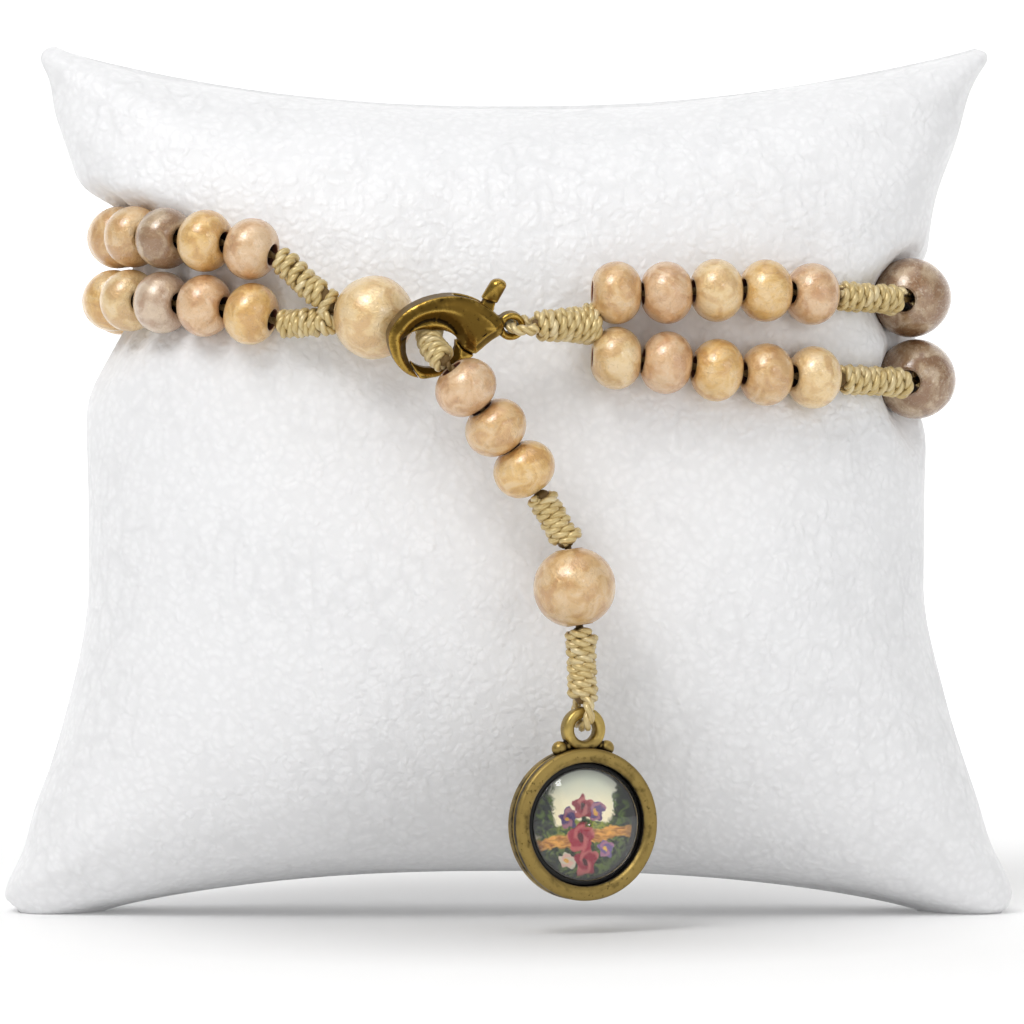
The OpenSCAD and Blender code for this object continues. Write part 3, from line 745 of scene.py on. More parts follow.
def place_along(points: Array, at: Array, way: Array) -> Array:
    """Turns z to a direction, as the solids' beads are turned, and moves points there."""
    flat = math.hypot(way[0], way[1])
    tip = math.atan2(flat, way[2])
    spin = math.atan2(way[1], way[0])
    c, s, cz, sz = math.cos(tip), math.sin(tip), math.cos(spin), math.sin(spin)
    turned = np.array([[cz * c, -sz, cz * s], [sz * c, cz, sz * s], [-s, 0, c]])
    return points @ turned.T + at


def mark_wear(piece: bpy.types.Object, rounds: int = 3) -> None:
    """Stores how far each point stands out from its neighbours, for rubbed edges.

    Args:
        piece: The object whose mesh is marked.
        rounds: How often the values are averaged with the neighbours'.
    """
    mesh = piece.data
    count = len(mesh.vertices)
    places = np.empty(count * 3)
    mesh.vertices.foreach_get("co", places)
    places = places.reshape(-1, 3)
    normals = np.empty(count * 3)
    mesh.vertices.foreach_get("normal", normals)
    normals = normals.reshape(-1, 3)
    ends = np.empty(len(mesh.edges) * 2, dtype=np.int64)
    mesh.edges.foreach_get("vertices", ends)
    a, b = ends.reshape(-1, 2).T
    degree = np.bincount(a, minlength=count) + np.bincount(b, minlength=count)
    degree = np.maximum(degree, 1)

    def average(data: Array) -> Array:
        """Averages each point's neighbours."""
        total = np.zeros_like(data)
        np.add.at(total, a, data[b])
        np.add.at(total, b, data[a])
        return total / (degree[:, None] if data.ndim == 2 else degree)

    near = places
    for _ in range(rounds):
        near = average(near)
    stand = np.einsum("ij,ij->i", places - near, normals)
    for _ in range(rounds):
        stand = average(stand)
    spread = np.percentile(np.abs(stand), 90) or 1.0
    wear = np.clip(0.5 + 0.5 * stand / spread, 0, 1)
    marks = mesh.attributes.get("wear") or mesh.attributes.new("wear", "FLOAT", "POINT")
    marks.data.foreach_set("value", wear)


def soft_cast(source: bpy.types.Object, name: str, voxel: float, rounds: int,
              material: bpy.types.Material) -> bpy.types.Object:
    """Copies a solid's mesh and gives it the softened edges of a casting.

    Args:
        source: The object to copy.
        name: Name of the copy.
        voxel: Size of the new faces, in millimetres.
        rounds: How often the surface is smoothed.
        material: Its material.

    Returns:
        The new object.
    """
    made = bpy.data.objects.new(name, source.data.copy())
    bpy.context.scene.collection.objects.link(made)
    remesh = made.modifiers.new("remesh", "REMESH")
    remesh.mode = "VOXEL"
    remesh.voxel_size = voxel * MM
    remesh.use_smooth_shade = True
    ease = made.modifiers.new("ease", "SMOOTH")
    ease.factor = 0.5
    ease.iterations = rounds
    graph = bpy.context.evaluated_depsgraph_get()
    graph.update()
    made.data = bpy.data.meshes.new_from_object(made.evaluated_get(graph))
    made.modifiers.clear()
    made.data.materials.clear()
    made.data.materials.append(material)
    made.data.shade_smooth()
    mark_wear(made)
    return made


# ---------------------------------------------------------------- where everything lies


@dataclass
class Route:
    """The doubled string's way round the pillow, through the clasp and down to the medal.

    Along a row, places are lengths from the front middle of the oval, measured to the right.
    """

    bead_d: float = 6.0
    bead_l: float = 4.6
    large_d: float = 7.8
    large_l: float = 7.2
    centre_d: float = 8.0
    centre_l: float = 7.4
    lead_beads: int = 5
    decade_beads: int = 10
    knot_l: float = 7.8
    knot_d: float = 3.1
    last_knot_run: float = 5.6
    short_knot_l: float = 5.9
    medal_knot_l: float = 7.2
    held_knot_l: float = 8.0
    bead_gap: float = 0.14
    row_gap: float = 0.2
    lower_out: float = 0.5
    clasp_knot_l: float = 5.8
    clasp_gap: float = 10.7
    clasp_shift: float = 3.8
    seat_w: float = 71.4
    seat_gap: float = 0.3
    seat_z: float = 60.2
    tilt: float = 4.7
    sag: float = 3.15
    oval_n: float = 2.5
    oval_steps: int = 144
    spread_near: float = 20.0
    spread_far: float = 32.0
    hub_run: float = 1.2
    loop_d: float = 1.1
    ring_wall: float = 0.8
    ring_seat: float = 0.14
    loop_drop: float = 0.55
    clasp_l: float = 10.9
    clasp_h: float = 7.9
    clasp_t: float = 2.8
    eye_r: float = 1.35
    clasp_yaw: float = 14.0
    clasp_lean: float = 17.0
    medal_yaw: float = 22.0
    pin_place: tuple[float, float] = (0.43, 0.18)
    eye_place: tuple[float, float] = (0.705, 0.22)
    sag_x: float = -12.5
    sag_left: float = 9.8
    sag_right: float = 44.0
    fork_half: float = 1.46
    hub_half: float = 0.46
    stand_back: float = 3.18
    strand_route: tuple[tuple[float, float, float], ...] = (
        (-0.6, -3.6, 1.95), (0, -2.3, 1.6), (-0.05, -0.3, 0.5), (0.45, 1.6, -0.7),
        (1.9, 2.95, -2.3), (3.7, 2.5, -4.7), (6.5, 1.3, -8.4), (9.0, 0.3, -12.1),
        (11.1, 0, -15.6), (13, 0, -19.3), (13.6, 0.2, -22.9), (14.1, 0.3, -26.8),
        (14.4, 0.3, -33), (14.4, 0.3, -38),
    )

    def __post_init__(self) -> None:
        """Works out the oval, the rows' places and the pendant strand's line."""
        self.pitch = self.bead_l + self.bead_gap
        large_pitch = self.large_l + self.bead_gap
        knot_pitch = self.knot_l + self.bead_gap
        last_pitch = self.last_knot_run + self.bead_gap
        row_len = (self.lead_beads + 2 * self.decade_beads) * self.pitch + 2 * large_pitch
        row_len += 4 * knot_pitch + last_pitch
        self.knot_start = self.clasp_gap / 2 - self.clasp_shift
        self.row_start = self.knot_start + self.clasp_knot_l + self.bead_gap
        self.loop_len = self.clasp_gap + self.clasp_knot_l + self.bead_gap + row_len + self.centre_l
        self.loop_a = self.seat_w / 2 + self.seat_gap + self.bead_d / 2
        self.loop_b = self._half_depth()
        self._measure_oval()
        self.first_knot = self.row_start + self.lead_beads * self.pitch
        self.large_1 = self.first_knot + knot_pitch + self.large_l / 2
        self.decade_1 = self.large_1 - self.large_l / 2 + large_pitch + knot_pitch
        self.third_knot = self.decade_1 + self.decade_beads * self.pitch
        self.large_2 = self.third_knot + knot_pitch + self.large_l / 2
        self.decade_2 = self.large_2 - self.large_l / 2 + large_pitch + knot_pitch
        self.last_knot = self.decade_2 + self.decade_beads * self.pitch
        self.row_end = self.last_knot + last_pitch
        large_beads = (self.large_1, self.large_2)
        after_1, after_2 = (at - self.large_l / 2 + large_pitch for at in large_beads)
        self.knots = [self.first_knot, after_1, self.third_knot, after_2, self.last_knot]
        self.small = [start + i * self.pitch for start, count in (
            (self.row_start, self.lead_beads), (self.decade_1, self.decade_beads),
            (self.decade_2, self.decade_beads)) for i in range(count)]
        eye_at = self._on_clasp(self.eye_place)
        self.pin = self._on_clasp(self.pin_place)
        self.eye = np.array([
            self.knot_start - self.eye_r - 0.35,
            self.stand_back - (self.loop_b + (self.centre_d - self.bead_d) / 2 + self.centre_d / 2)
            + self.clasp_t * 0.5,
            self.height(self.knot_start, 1) - 0.35,
        ])
        self.clasp_at = self.eye - self.clasp_turned(eye_at)
        self._lay_strand()

    def _on_clasp(self, place: tuple[float, float]) -> Array:
        """Gives a point of the clasp's middle plane from shares of its length and height."""
        return np.array([self.clasp_l * place[0], 0, self.clasp_h * place[1]])

    def clasp_turned(self, v: Array) -> Array:
        """Turns a vector from the clasp's own frame."""
        return turn_z(turn_x(v, self.clasp_lean), self.clasp_yaw)

    def _oval(self, t: Array, b: float) -> Array:
        """Points of the oval of half depth b, at angles in degrees."""
        t = np.radians(t)
        share = 2 / self.oval_n
        x = self.loop_a * np.sign(np.sin(t)) * np.abs(np.sin(t)) ** share
        y = -b * np.sign(np.cos(t)) * np.abs(np.cos(t)) ** share
        return np.stack([x, y], axis=-1)

    def _oval_out(self, t: Array, b: float) -> Array:
        """Outward directions of the oval."""
        d = self._oval(t + 0.5, b) - self._oval(t - 0.5, b)
        d /= np.linalg.norm(d, axis=-1)[..., None]
        return np.stack([d[..., 1], -d[..., 0]], axis=-1)

    def _inner_run(self, b: float) -> Array:
        """Running length of the line through the beads' inner shoulders."""
        t = np.arange(self.oval_steps + 1) * 360.0 / self.oval_steps
        line = self._oval(t, b) - self.bead_d * 0.26 * self._oval_out(t, b)
        return np.concatenate([[0], np.cumsum(np.linalg.norm(np.diff(line, axis=0), axis=1))])

    def _half_depth(self) -> float:
        """Half depth of the oval whose inner line is as long as the string."""
        low, high = 8.0, 60.0
        for _ in range(14):
            middle = (low + high) / 2
            if self._inner_run(middle)[-1] < self.loop_len:
                low = middle
            else:
                high = middle
        return (low + high) / 2

    def _measure_oval(self) -> None:
        """Tabulates the oval against the length along it."""
        t = np.arange(self.oval_steps + 1) * 360.0 / self.oval_steps
        self._run = self._inner_run(self.loop_b)
        self._on = self._oval(t, self.loop_b)
        self._out = self._oval_out(t, self.loop_b)

    def height(self, x: float, q: float) -> float:
        """Height of the bracelet's middle line. q is 1 at the front of the oval, -1 at its back."""
        d = x - self.sag_x
        pull = math.exp(-((-d / self.sag_left) ** 3)) if d < 0 else math.exp(-d / self.sag_right)
        return self.seat_z - x * math.tan(math.radians(self.tilt)) - self.sag * pull * smooth(q * 2)

    def _large_near(self, s: float) -> float:
        """Length to the nearest large bead."""
        return min(abs(s - self.large_1), abs(s - self.large_2))

    def half(self, s: float) -> float:
        """Half of the height between the two rows."""
        spread = self.spread_far - self.spread_near
        w = 1 - smooth((self._large_near(s) - self.spread_near) / spread)
        apart = (blend(self.bead_d, self.large_d, w) + self.row_gap) / 2
        ended = smooth((s - self.last_knot) / (self.last_knot_run - self.hub_run))
        at_hub = smooth((s - self.row_end + self.hub_run) / self.hub_run)
        return blend(blend(apart, self.fork_half, ended), self.hub_half, at_hub)

    def _lift(self, s: float) -> float:
        """How far the middle of a bead lies outside the oval."""
        large = 1 - smooth((self._large_near(s) - self.large_l / 2) / self.knot_l)
        centre = smooth((s - self.last_knot) / self.last_knot_run)
        return (self.large_d - self.bead_d) / 2 * large + (self.centre_d - self.bead_d) / 2 * centre

    def _shift_out(self, s: float) -> float:
        """How far the lower row lies outside the upper one."""
        leave = smooth((s - self.row_start) / self.spread_far)
        back = smooth((s - self.last_knot + self.spread_near) / self.spread_near)
        return self.lower_out * leave * (1 - back)

    def row(self, s: float, side: int) -> Array:
        """Point on a row's cord. side is 1 for the upper row, -1 for the lower, 0 between them."""
        x, y = (float(np.interp(s, self._run, self._on[:, k])) for k in (0, 1))
        ox, oy = (float(np.interp(s, self._run, self._out[:, k])) for k in (0, 1))
        lift = self._lift(s) + (self._shift_out(s) if side < 0 else 0)
        return np.array([x + ox * lift, y + oy * lift + self.stand_back,
                         self.height(x, -y / self.loop_b) + side * self.half(s)])

    def balls(self) -> list[tuple[Array, float]]:
        """Balls that stand for the beads and knots on the oval, where they press the pillow.

        Returns:
            The middle and the radius of each.
        """
        found = []
        for side in (1, -1):
            found += [((self.row(s, side) + self.row(s + self.bead_l, side)) / 2, self.bead_d / 2)
                      for s in self.small]
            found += [(self.row(m, side), self.large_d / 2) for m in (self.large_1, self.large_2)]
            found += [(self.row(s + k, side), self.knot_d / 2) for s in self.knots
                      for k in np.arange(0.8, self.knot_l - 2.0, 1.2)]
        return [*found, (self.row(self.row_end + self.centre_l / 2, 0), self.centre_d / 2)]

    def _lay_strand(self) -> None:
        """Lays the pendant strand's line and the places on it."""
        self.centre_out = self.row(self.row_end + self.centre_l, 0)
        nodes = [self.centre_out]
        nodes += [self.clasp_at + np.array([p[0], -p[1], p[2]]) for p in self.strand_route]
        last = len(nodes) - 1
        self._strand = np.array([
            spline(nodes[max(i - 1, 0)], nodes[i], nodes[i + 1], nodes[min(i + 2, last)], k / 6)
            for i in range(last) for k in range(6)] + [nodes[last]])
        steps = np.linalg.norm(np.diff(self._strand, axis=0), axis=1)
        self._strand_run = np.concatenate([[0], np.cumsum(steps)])
        gap = self.bead_gap + 0.11
        self.held_knot = 1.5
        self.strand_pitch = self.bead_l + gap
        self.strand_bead = self.held_knot + self.held_knot_l + 2.4 * gap
        self.strand_knot_2 = self.strand_bead + 3 * self.strand_pitch
        self.strand_large = self.strand_knot_2 + self.short_knot_l + gap
        self.strand_knot_3 = self.strand_large + self.large_l + gap
        self.foot = self.strand(self.strand_knot_3 + self.medal_knot_l)
        drop = self.loop_drop + self.ring_wall + self.loop_d / 2 + self.ring_seat
        self.hinge = self.foot - np.array([0, 0, drop])

    def strand(self, s: float) -> Array:
        """Point on the pendant strand at a length from the centre bead."""
        return np.array([np.interp(s, self._strand_run, self._strand[:, k]) for k in range(3)])


# ---------------------------------------------------------------- the pillow


@dataclass
class Pillow:
    """Stuffed leather display pillow with four pulled corners, pressed in by the bracelet."""

    route: Route
    finish: PebbledLeather
    waist_w: float = 81.8
    top_w: float = 93.0
    foot_w: float = 98.8
    top_z: float = 79.5
    top_rise: float = 6.0
    arch_h: float = 4.0
    swell: float = 3.0
    tip_r: float = 2.2
    foot_press: float = 2.4
    rings: int = 264
    levels: int = 230
    section_n: float = 2.4
    level_n: float = 2.5
    foot_n: float = 3.2
    top_flare_z: float = 64.0
    foot_flare_z: float = 32.0
    flare_n: float = 1.38
    clearance: float = 0.14
    valley_swell: float = 1.3
    valley_near: float = 9.0
    valley_far: float = 27.0
    left_swell: float = 1.2
    right_swell: float = 0.2
    slope_above: float = 1.3
    slope_below: float = 0.55
    slope_side: float = 0.6
    ease: int = 10
    corner_pull: tuple[float, float, float, float] = (0.3, 1.6, 1.0, 0.9)

    def _half_width(self, z: float) -> float:
        """Gives the half width of the pillow away from the bracelet.

        Args:
            z: Height above the floor.

        Returns:
            The half width.
        """
        top = self.top_z + self.top_rise
        up = clamp((z - self.top_flare_z) / (top - self.top_flare_z))
        down = clamp((self.foot_flare_z - z) / self.foot_flare_z)
        over = clamp((z - (top - self.tip_r)) / self.tip_r)
        under = clamp((self.tip_r - z) / self.tip_r)
        width = self.waist_w / 2 + (self.top_w - self.waist_w) / 2 * up**self.flare_n
        width += (self.foot_w - self.waist_w) / 2 * down**self.flare_n
        width -= self.tip_r * (1 - math.sqrt(1 - 0.98 * over * over))
        return width - self.tip_r * (1 - math.sqrt(1 - 0.98 * under * under))

    def _point(self, a: float, level: float) -> Array:
        """Gives a point of the leather before the string presses it.

        Args:
            a: Angle about the pillow in degrees, 0 at the front.
            level: Level in degrees, from -90 at the bottom to 90 at the top.

        Returns:
            The point.
        """
        r = self.route
        sin_a, cos_a = math.sin(math.radians(a)), math.cos(math.radians(a))
        c = power(sin_a, 2 / self.section_n)
        d = -power(cos_a, 2 / self.section_n)
        v = power(math.sin(math.radians(level)), 2 / self.level_n)
        edge = max(0.05, abs(math.cos(math.radians(level))) ** (2 / self.level_n))
        bottom = self.arch_h * (1 - c * c) - self.foot_press * c * c
        z = blend(bottom, self.top_z + self.top_rise * abs(c) ** 2.28, (v + 1) / 2)
        width = self._half_width(z) + (self.left_swell if a > 180 else self.right_swell) * edge
        off = z - r.height(c * width, -d)
        near = 1 - smooth((abs(off) - self.valley_near) / (self.valley_far - self.valley_near))
        seat = r.loop_b - r.bead_d / 2 - r.seat_gap
        depth = (seat + blend(self.swell, self.valley_swell, near)) * edge
        foot = clamp((self.foot_flare_z - z) / self.foot_flare_z) ** 2
        n = blend(blend(self.section_n, self.foot_n, foot), r.oval_n, near)
        return np.array([width * power(sin_a, 2 / n), -depth * power(cos_a, 2 / n), z])

    def _pressed(self, points: Array, out: Array) -> Array:
        """How deep the string presses the leather in.

        Args:
            points: The free leather's points, in levels and rings.
            out: The direction out of the leather at each.

        Returns:
            The depth at each point.
        """
        deepest = np.zeros(points.shape[:2])
        for middle, radius in self.route.balls():
            away = points - middle
            along = np.einsum("ijk,ijk->ij", away, out)
            reach = (radius + self.clearance) ** 2 - np.einsum("ijk,ijk->ij", away, away)
            room = along**2 + reach
            hit = (room > 0) & (np.abs(along) < 9)
            deepest[hit] = np.maximum(deepest[hit], (along + np.sqrt(np.maximum(room, 0)))[hit])
        depth = deepest.copy()
        up = np.linalg.norm(np.diff(points, axis=0), axis=2)
        over = np.linalg.norm(np.roll(points, -1, axis=1) - points, axis=2)
        for _ in range(2):
            for i in range(1, len(depth)):
                depth[i] = np.maximum(depth[i], depth[i - 1] - self.slope_above * up[i - 1])
            for i in range(len(depth) - 2, -1, -1):
                depth[i] = np.maximum(depth[i], depth[i + 1] - self.slope_below * up[i])
            for _ in range(40):
                right = np.roll(depth - self.slope_side * over, 1, axis=1)
                left = np.roll(depth, -1, axis=1) - self.slope_side * over
                depth = np.maximum(depth, np.maximum(right, left))
        for _ in range(self.ease):
            padded = np.pad(depth, ((1, 1), (0, 0)), mode="edge")
            depth = (2 * depth + padded[:-2] + padded[2:] + np.roll(depth, 1, axis=1)
                     + np.roll(depth, -1, axis=1)) / 6
            depth = np.maximum(depth, deepest)
        return depth

    def _softened(self, p: Array, out: Array) -> Array:
        """Adds the hand-stuffed unevenness of the leather.

        Args:
            p: A point of the even surface.
            out: The direction out of the leather there.

        Returns:
            The moved point.
        """
        place = Vector(p) * 0.05
        heave = 0.55 * noise.noise(place) + 0.22 * noise.noise(place * 2.7)
        corner = smooth((abs(p[0]) - 22) / 22) * max(
            smooth((p[2] - 62) / 18), smooth((22 - p[2]) / 20))
        angle = math.atan2(p[2] - (95 if p[2] > 50 else -8), abs(p[0]) - 62)
        folds = math.sin(angle * 26 + 2 * noise.noise(place * 1.4)) * 0.22 * corner
        near = 1 - smooth((abs(p[2] - self.route.height(p[0], 1.0)) - 7) / 9)
        puckers = noise.noise(Vector((p[0] * 0.42, p[1] * 0.42, p[2] * 0.05 + 7))) * 0.3 * near
        pull = self.corner_pull[(0 if p[2] > 50 else 2) + (1 if p[0] > 0 else 0)]
        tip = clamp((abs(p[0]) - 30) / 18) ** 2 * clamp(abs(p[2] - 43) / 42) ** 3
        tugged = np.array([math.copysign(pull * tip, p[0]), 0, 0])
        return p + tugged + out * (heave * 0.6 + folds + puckers - 0.25)

    def build(self) -> bpy.types.Object:
        """Builds the pillow and puts it in the place of its solid."""
        angles = np.linspace(0, 360, self.rings, endpoint=False)
        levels = np.linspace(-90, 90, self.levels + 1)
        even = np.array([[self._point(a, b) for a in angles] for b in levels])
        across = np.roll(even, -1, axis=1) - np.roll(even, 1, axis=1)
        up = np.gradient(even, axis=0)
        out = np.cross(across, up)
        out /= np.maximum(np.linalg.norm(out, axis=2), 1e-9)[:, :, None]
        moved = np.array([[self._softened(p, o) for p, o in zip(row, ways)]
                          for row, ways in zip(even, out)])
        moved[..., 2] = np.maximum(moved[..., 2], 0.0)
        moved[..., 1] += self.route.stand_back
        moved -= out * self._pressed(moved, out)[:, :, None]
        points = moved.reshape(-1, 3)
        faces = [tuple(f) for f in grid(self.levels + 1, self.rings)]
        last = self.levels * self.rings
        quarter = self.rings // 4
        for i in range(-quarter, quarter):
            f, g = i % self.rings, (i + 1) % self.rings
            p, q = (2 * quarter - i) % self.rings, (2 * quarter - i - 1) % self.rings
            faces.append(tuple(dict.fromkeys((f, p, q, g))))
            faces.append(tuple(last + k for k in dict.fromkeys((f, g, q, p))))
        skin = Skin()
        skin.add(points, faces)
        made = skin.build("leather_pillow", self.finish.material())
        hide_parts("pillow")
        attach(made, "bracelet_on_pillow")
        return made


# ---------------------------------------------------------------- beads


@dataclass
class Beads:
    """Turned wooden beads with rounded shoulders and a drilled hole."""

    route: Route
    finish: PearlWood
    hole_d: float = 2.0
    large_hole_d: float = 2.4
    rim: float = 0.16
    around: int = 44
    uneven: float = 0.035
    upper_tones: tuple[Tone, ...] = (Tone.TAN, Tone.ROSE, Tone.CREAM, Tone.HONEY, Tone.ROSE)
    lower_tones: tuple[Tone, ...] = (Tone.CREAM, Tone.ROSE, Tone.HONEY, Tone.TAN, Tone.CREAM)
    upper_last: tuple[Tone, ...] = (Tone.ROSE, Tone.HONEY, Tone.TAUPE, Tone.TAN, Tone.TAN)
    lower_last: tuple[Tone, ...] = (Tone.HONEY, Tone.ROSE, Tone.SILVER, Tone.CREAM, Tone.HONEY)

    def __post_init__(self) -> None:
        """Makes the one material that all beads share."""
        self._material = self.finish.material()

    def _profile(self, d: float, l: float, hole: float) -> tuple[Array, Array]:
        """Half section of a bead.

        Args:
            d: Diameter.
            l: Length.
            hole: Diameter of the hole.

        Returns:
            Rows of radius and height, and for each how far inside the hole it lies.
        """
        big = l / 2 + 0.12
        top = math.asin(l / 2 / big)
        turn = np.linspace(-top, top, 25)
        arc = np.stack([d / 2 - big + big * np.cos(turn), big * np.sin(turn)], axis=1)
        bend = np.linspace(90, 180, 6)[1:]
        lip = [[hole / 2 + self.rim * (1 + math.cos(math.radians(k))),
                l / 2 - self.rim * (1 - math.sin(math.radians(k)))] for k in bend]
        wall = [[hole / 2, l / 2 * k] for k in (0.72, 0.3, -0.3, -0.72)]
        low = [[r, -y] for r, y in reversed(lip)]
        profile = np.array([*arc, *lip, *wall, *low])
        bore = np.array([0.0] * len(arc) + [0.1, 0.25, 0.4, 0.5, 0.6] + [0.9, 1.0, 1.0, 0.9]
                        + [0.6, 0.5, 0.4, 0.25, 0.1])
        return profile, bore

    def _add(self, skin: Skin, at: Array, way: Array, size: tuple[float, float, float],
             tone: Tone, seed: int) -> None:
        """Adds one bead.

        Args:
            skin: The mesh to add to.
            at: Its middle.
            way: Its axis.
            size: Diameter, length and hole diameter.
            tone: Its colour.
            seed: Number of the bead, which moves its grain.
        """
        profile, bore = self._profile(*size)
        points, faces = lathe(profile, self.around)
        away = Vector((seed * 7.31, seed * 3.77, seed * 5.13))
        swing = [self.uneven * noise.noise(Vector(p) * 0.3 + away) for p in points]
        points = points * (1 + np.array(swing)[:, None] * np.array([1, 1, 0.4]) * 0.6)
        shade = 1 + 0.07 * noise.noise(away * 1.7)
        skin.add(place_along(points, at, way), faces,
                 tone=np.clip(np.array(tone.value) * shade, 0, 1),
                 grain=points + np.array(away),
                 bore=np.repeat(bore, self.around),
                 dark=np.full(len(points), 1.0 if tone is Tone.BROWN else 0.0))

    def _on_row(self, skin: Skin, start: float, side: int, size: tuple[float, float, float],
                tone: Tone, seed: int) -> None:
        """Adds a bead that starts at a place along a row."""
        row = self.route.row
        first, last = row(start, side), row(start + size[1], side)
        middle = ((first + last) / 2 + row(start + size[1] / 2, side)) / 2
        self._add(skin, middle, last - first, size, tone, seed)

    def _on_strand(self, skin: Skin, start: float, size: tuple[float, float, float],
                   tone: Tone, seed: int) -> None:
        """Adds a bead that starts at a place along the pendant strand."""
        p = self.route.strand
        first, last = p(start), p(start + size[1])
        middle = (first + last + 2 * p(start + size[1] / 2)) / 4
        self._add(skin, middle, last - first, size, tone, seed)

    def _finish_piece(self, skin: Skin, name: str, node: str) -> bpy.types.Object:
        """Builds a piece in the place of its solid."""
        made = skin.build(name, self._material)
        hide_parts(node)
        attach(made, "bracelet_on_pillow")
        return made

    def _row_tones(self, side: int) -> list[Tone]:
        """Tones of a row's small beads, from its start at the clasp to its end at the left."""
        first, last = ((self.upper_tones, self.upper_last) if side > 0
                       else (self.lower_tones, self.lower_last))
        hidden = (Tone.TAN, Tone.CREAM, Tone.ROSE, Tone.HONEY, Tone.TAN, Tone.TAUPE, Tone.CREAM)
        count = len(self.route.small) - len(first) - len(last)
        middle = [hidden[(3 * i + side) % len(hidden)] for i in range(count)]
        return [*first, *middle, *reversed(last)]

    def build(self) -> list[bpy.types.Object]:
        """Builds all beads."""
        r = self.route
        small = (r.bead_d, r.bead_l, self.hole_d)
        large = (r.large_d, r.large_l, self.large_hole_d)
        made = []
        for word, side in (("upper", 1), ("lower", -1)):
            skin = Skin()
            for i, (start, tone) in enumerate(zip(r.small, self._row_tones(side))):
                self._on_row(skin, start, side, small, tone, i + 40 * side)
            node = f"{word}_row_beads"
            made.append(self._finish_piece(skin, f"{word}_small_beads", node))
            for i, at in enumerate((r.large_1, r.large_2), 1):
                skin = Skin()
                self._on_row(skin, at - r.large_l / 2, side, large, Tone.BROWN, 90 + 3 * i + side)
                node = f"{word}_large_bead_{i}"
                made.append(self._finish_piece(skin, f"{word}_brown_bead_{i}", node))
        skin = Skin()
        centre = (r.centre_d, r.centre_l, self.large_hole_d)
        self._on_row(skin, r.row_end, 0, centre, Tone.CREAM, 101)
        made.append(self._finish_piece(skin, "middle_bead", "centre_bead"))
        for i, tone in enumerate((Tone.ROSE, Tone.TAN, Tone.HONEY)):
            skin = Skin()
            self._on_strand(skin, r.strand_bead + i * r.strand_pitch, small, tone, 110 + i)
            node = f"pendant_bead_{i + 1}"
            made.append(self._finish_piece(skin, f"strand_bead_{i + 1}", node))
        skin = Skin()
        self._on_strand(skin, r.strand_large, large, Tone.TAN, 120)
        node = "pendant_large_bead"
        made.append(self._finish_piece(skin, "strand_large_bead", node))
        return made


# ---------------------------------------------------------------- cords and wound knots

# Outer shapes of knots: share of the knot's length, share of its full radius.
BARREL = ((0, 0.74), (0.05, 0.93), (0.14, 1), (0.4, 0.97), (0.7, 0.97), (0.86, 1), (0.95, 0.93),
          (1, 0.74))
LAST_KNOT = ((0, 0.74), (0.06, 1), (0.7, 1), (0.86, 0.94), (1, 0.66))
CLASP_KNOT = ((0, 0.56), (0.05, 0.7), (0.14, 0.8), (0.4, 0.86), (0.7, 0.95), (0.86, 1.02),
              (0.95, 0.96), (1, 0.7))

# Place of a knot's bulge along its length.
EAR_FIRST, EAR_LAST, NO_EAR = 0.07, 0.93, 0.0


def swollen(shape: Sequence[tuple[float, float]], full: float) -> list[tuple[float, float]]:
    """Scales the outer shape of a knot to its full radius."""
    return [(at, full * reach) for at, reach in shape]


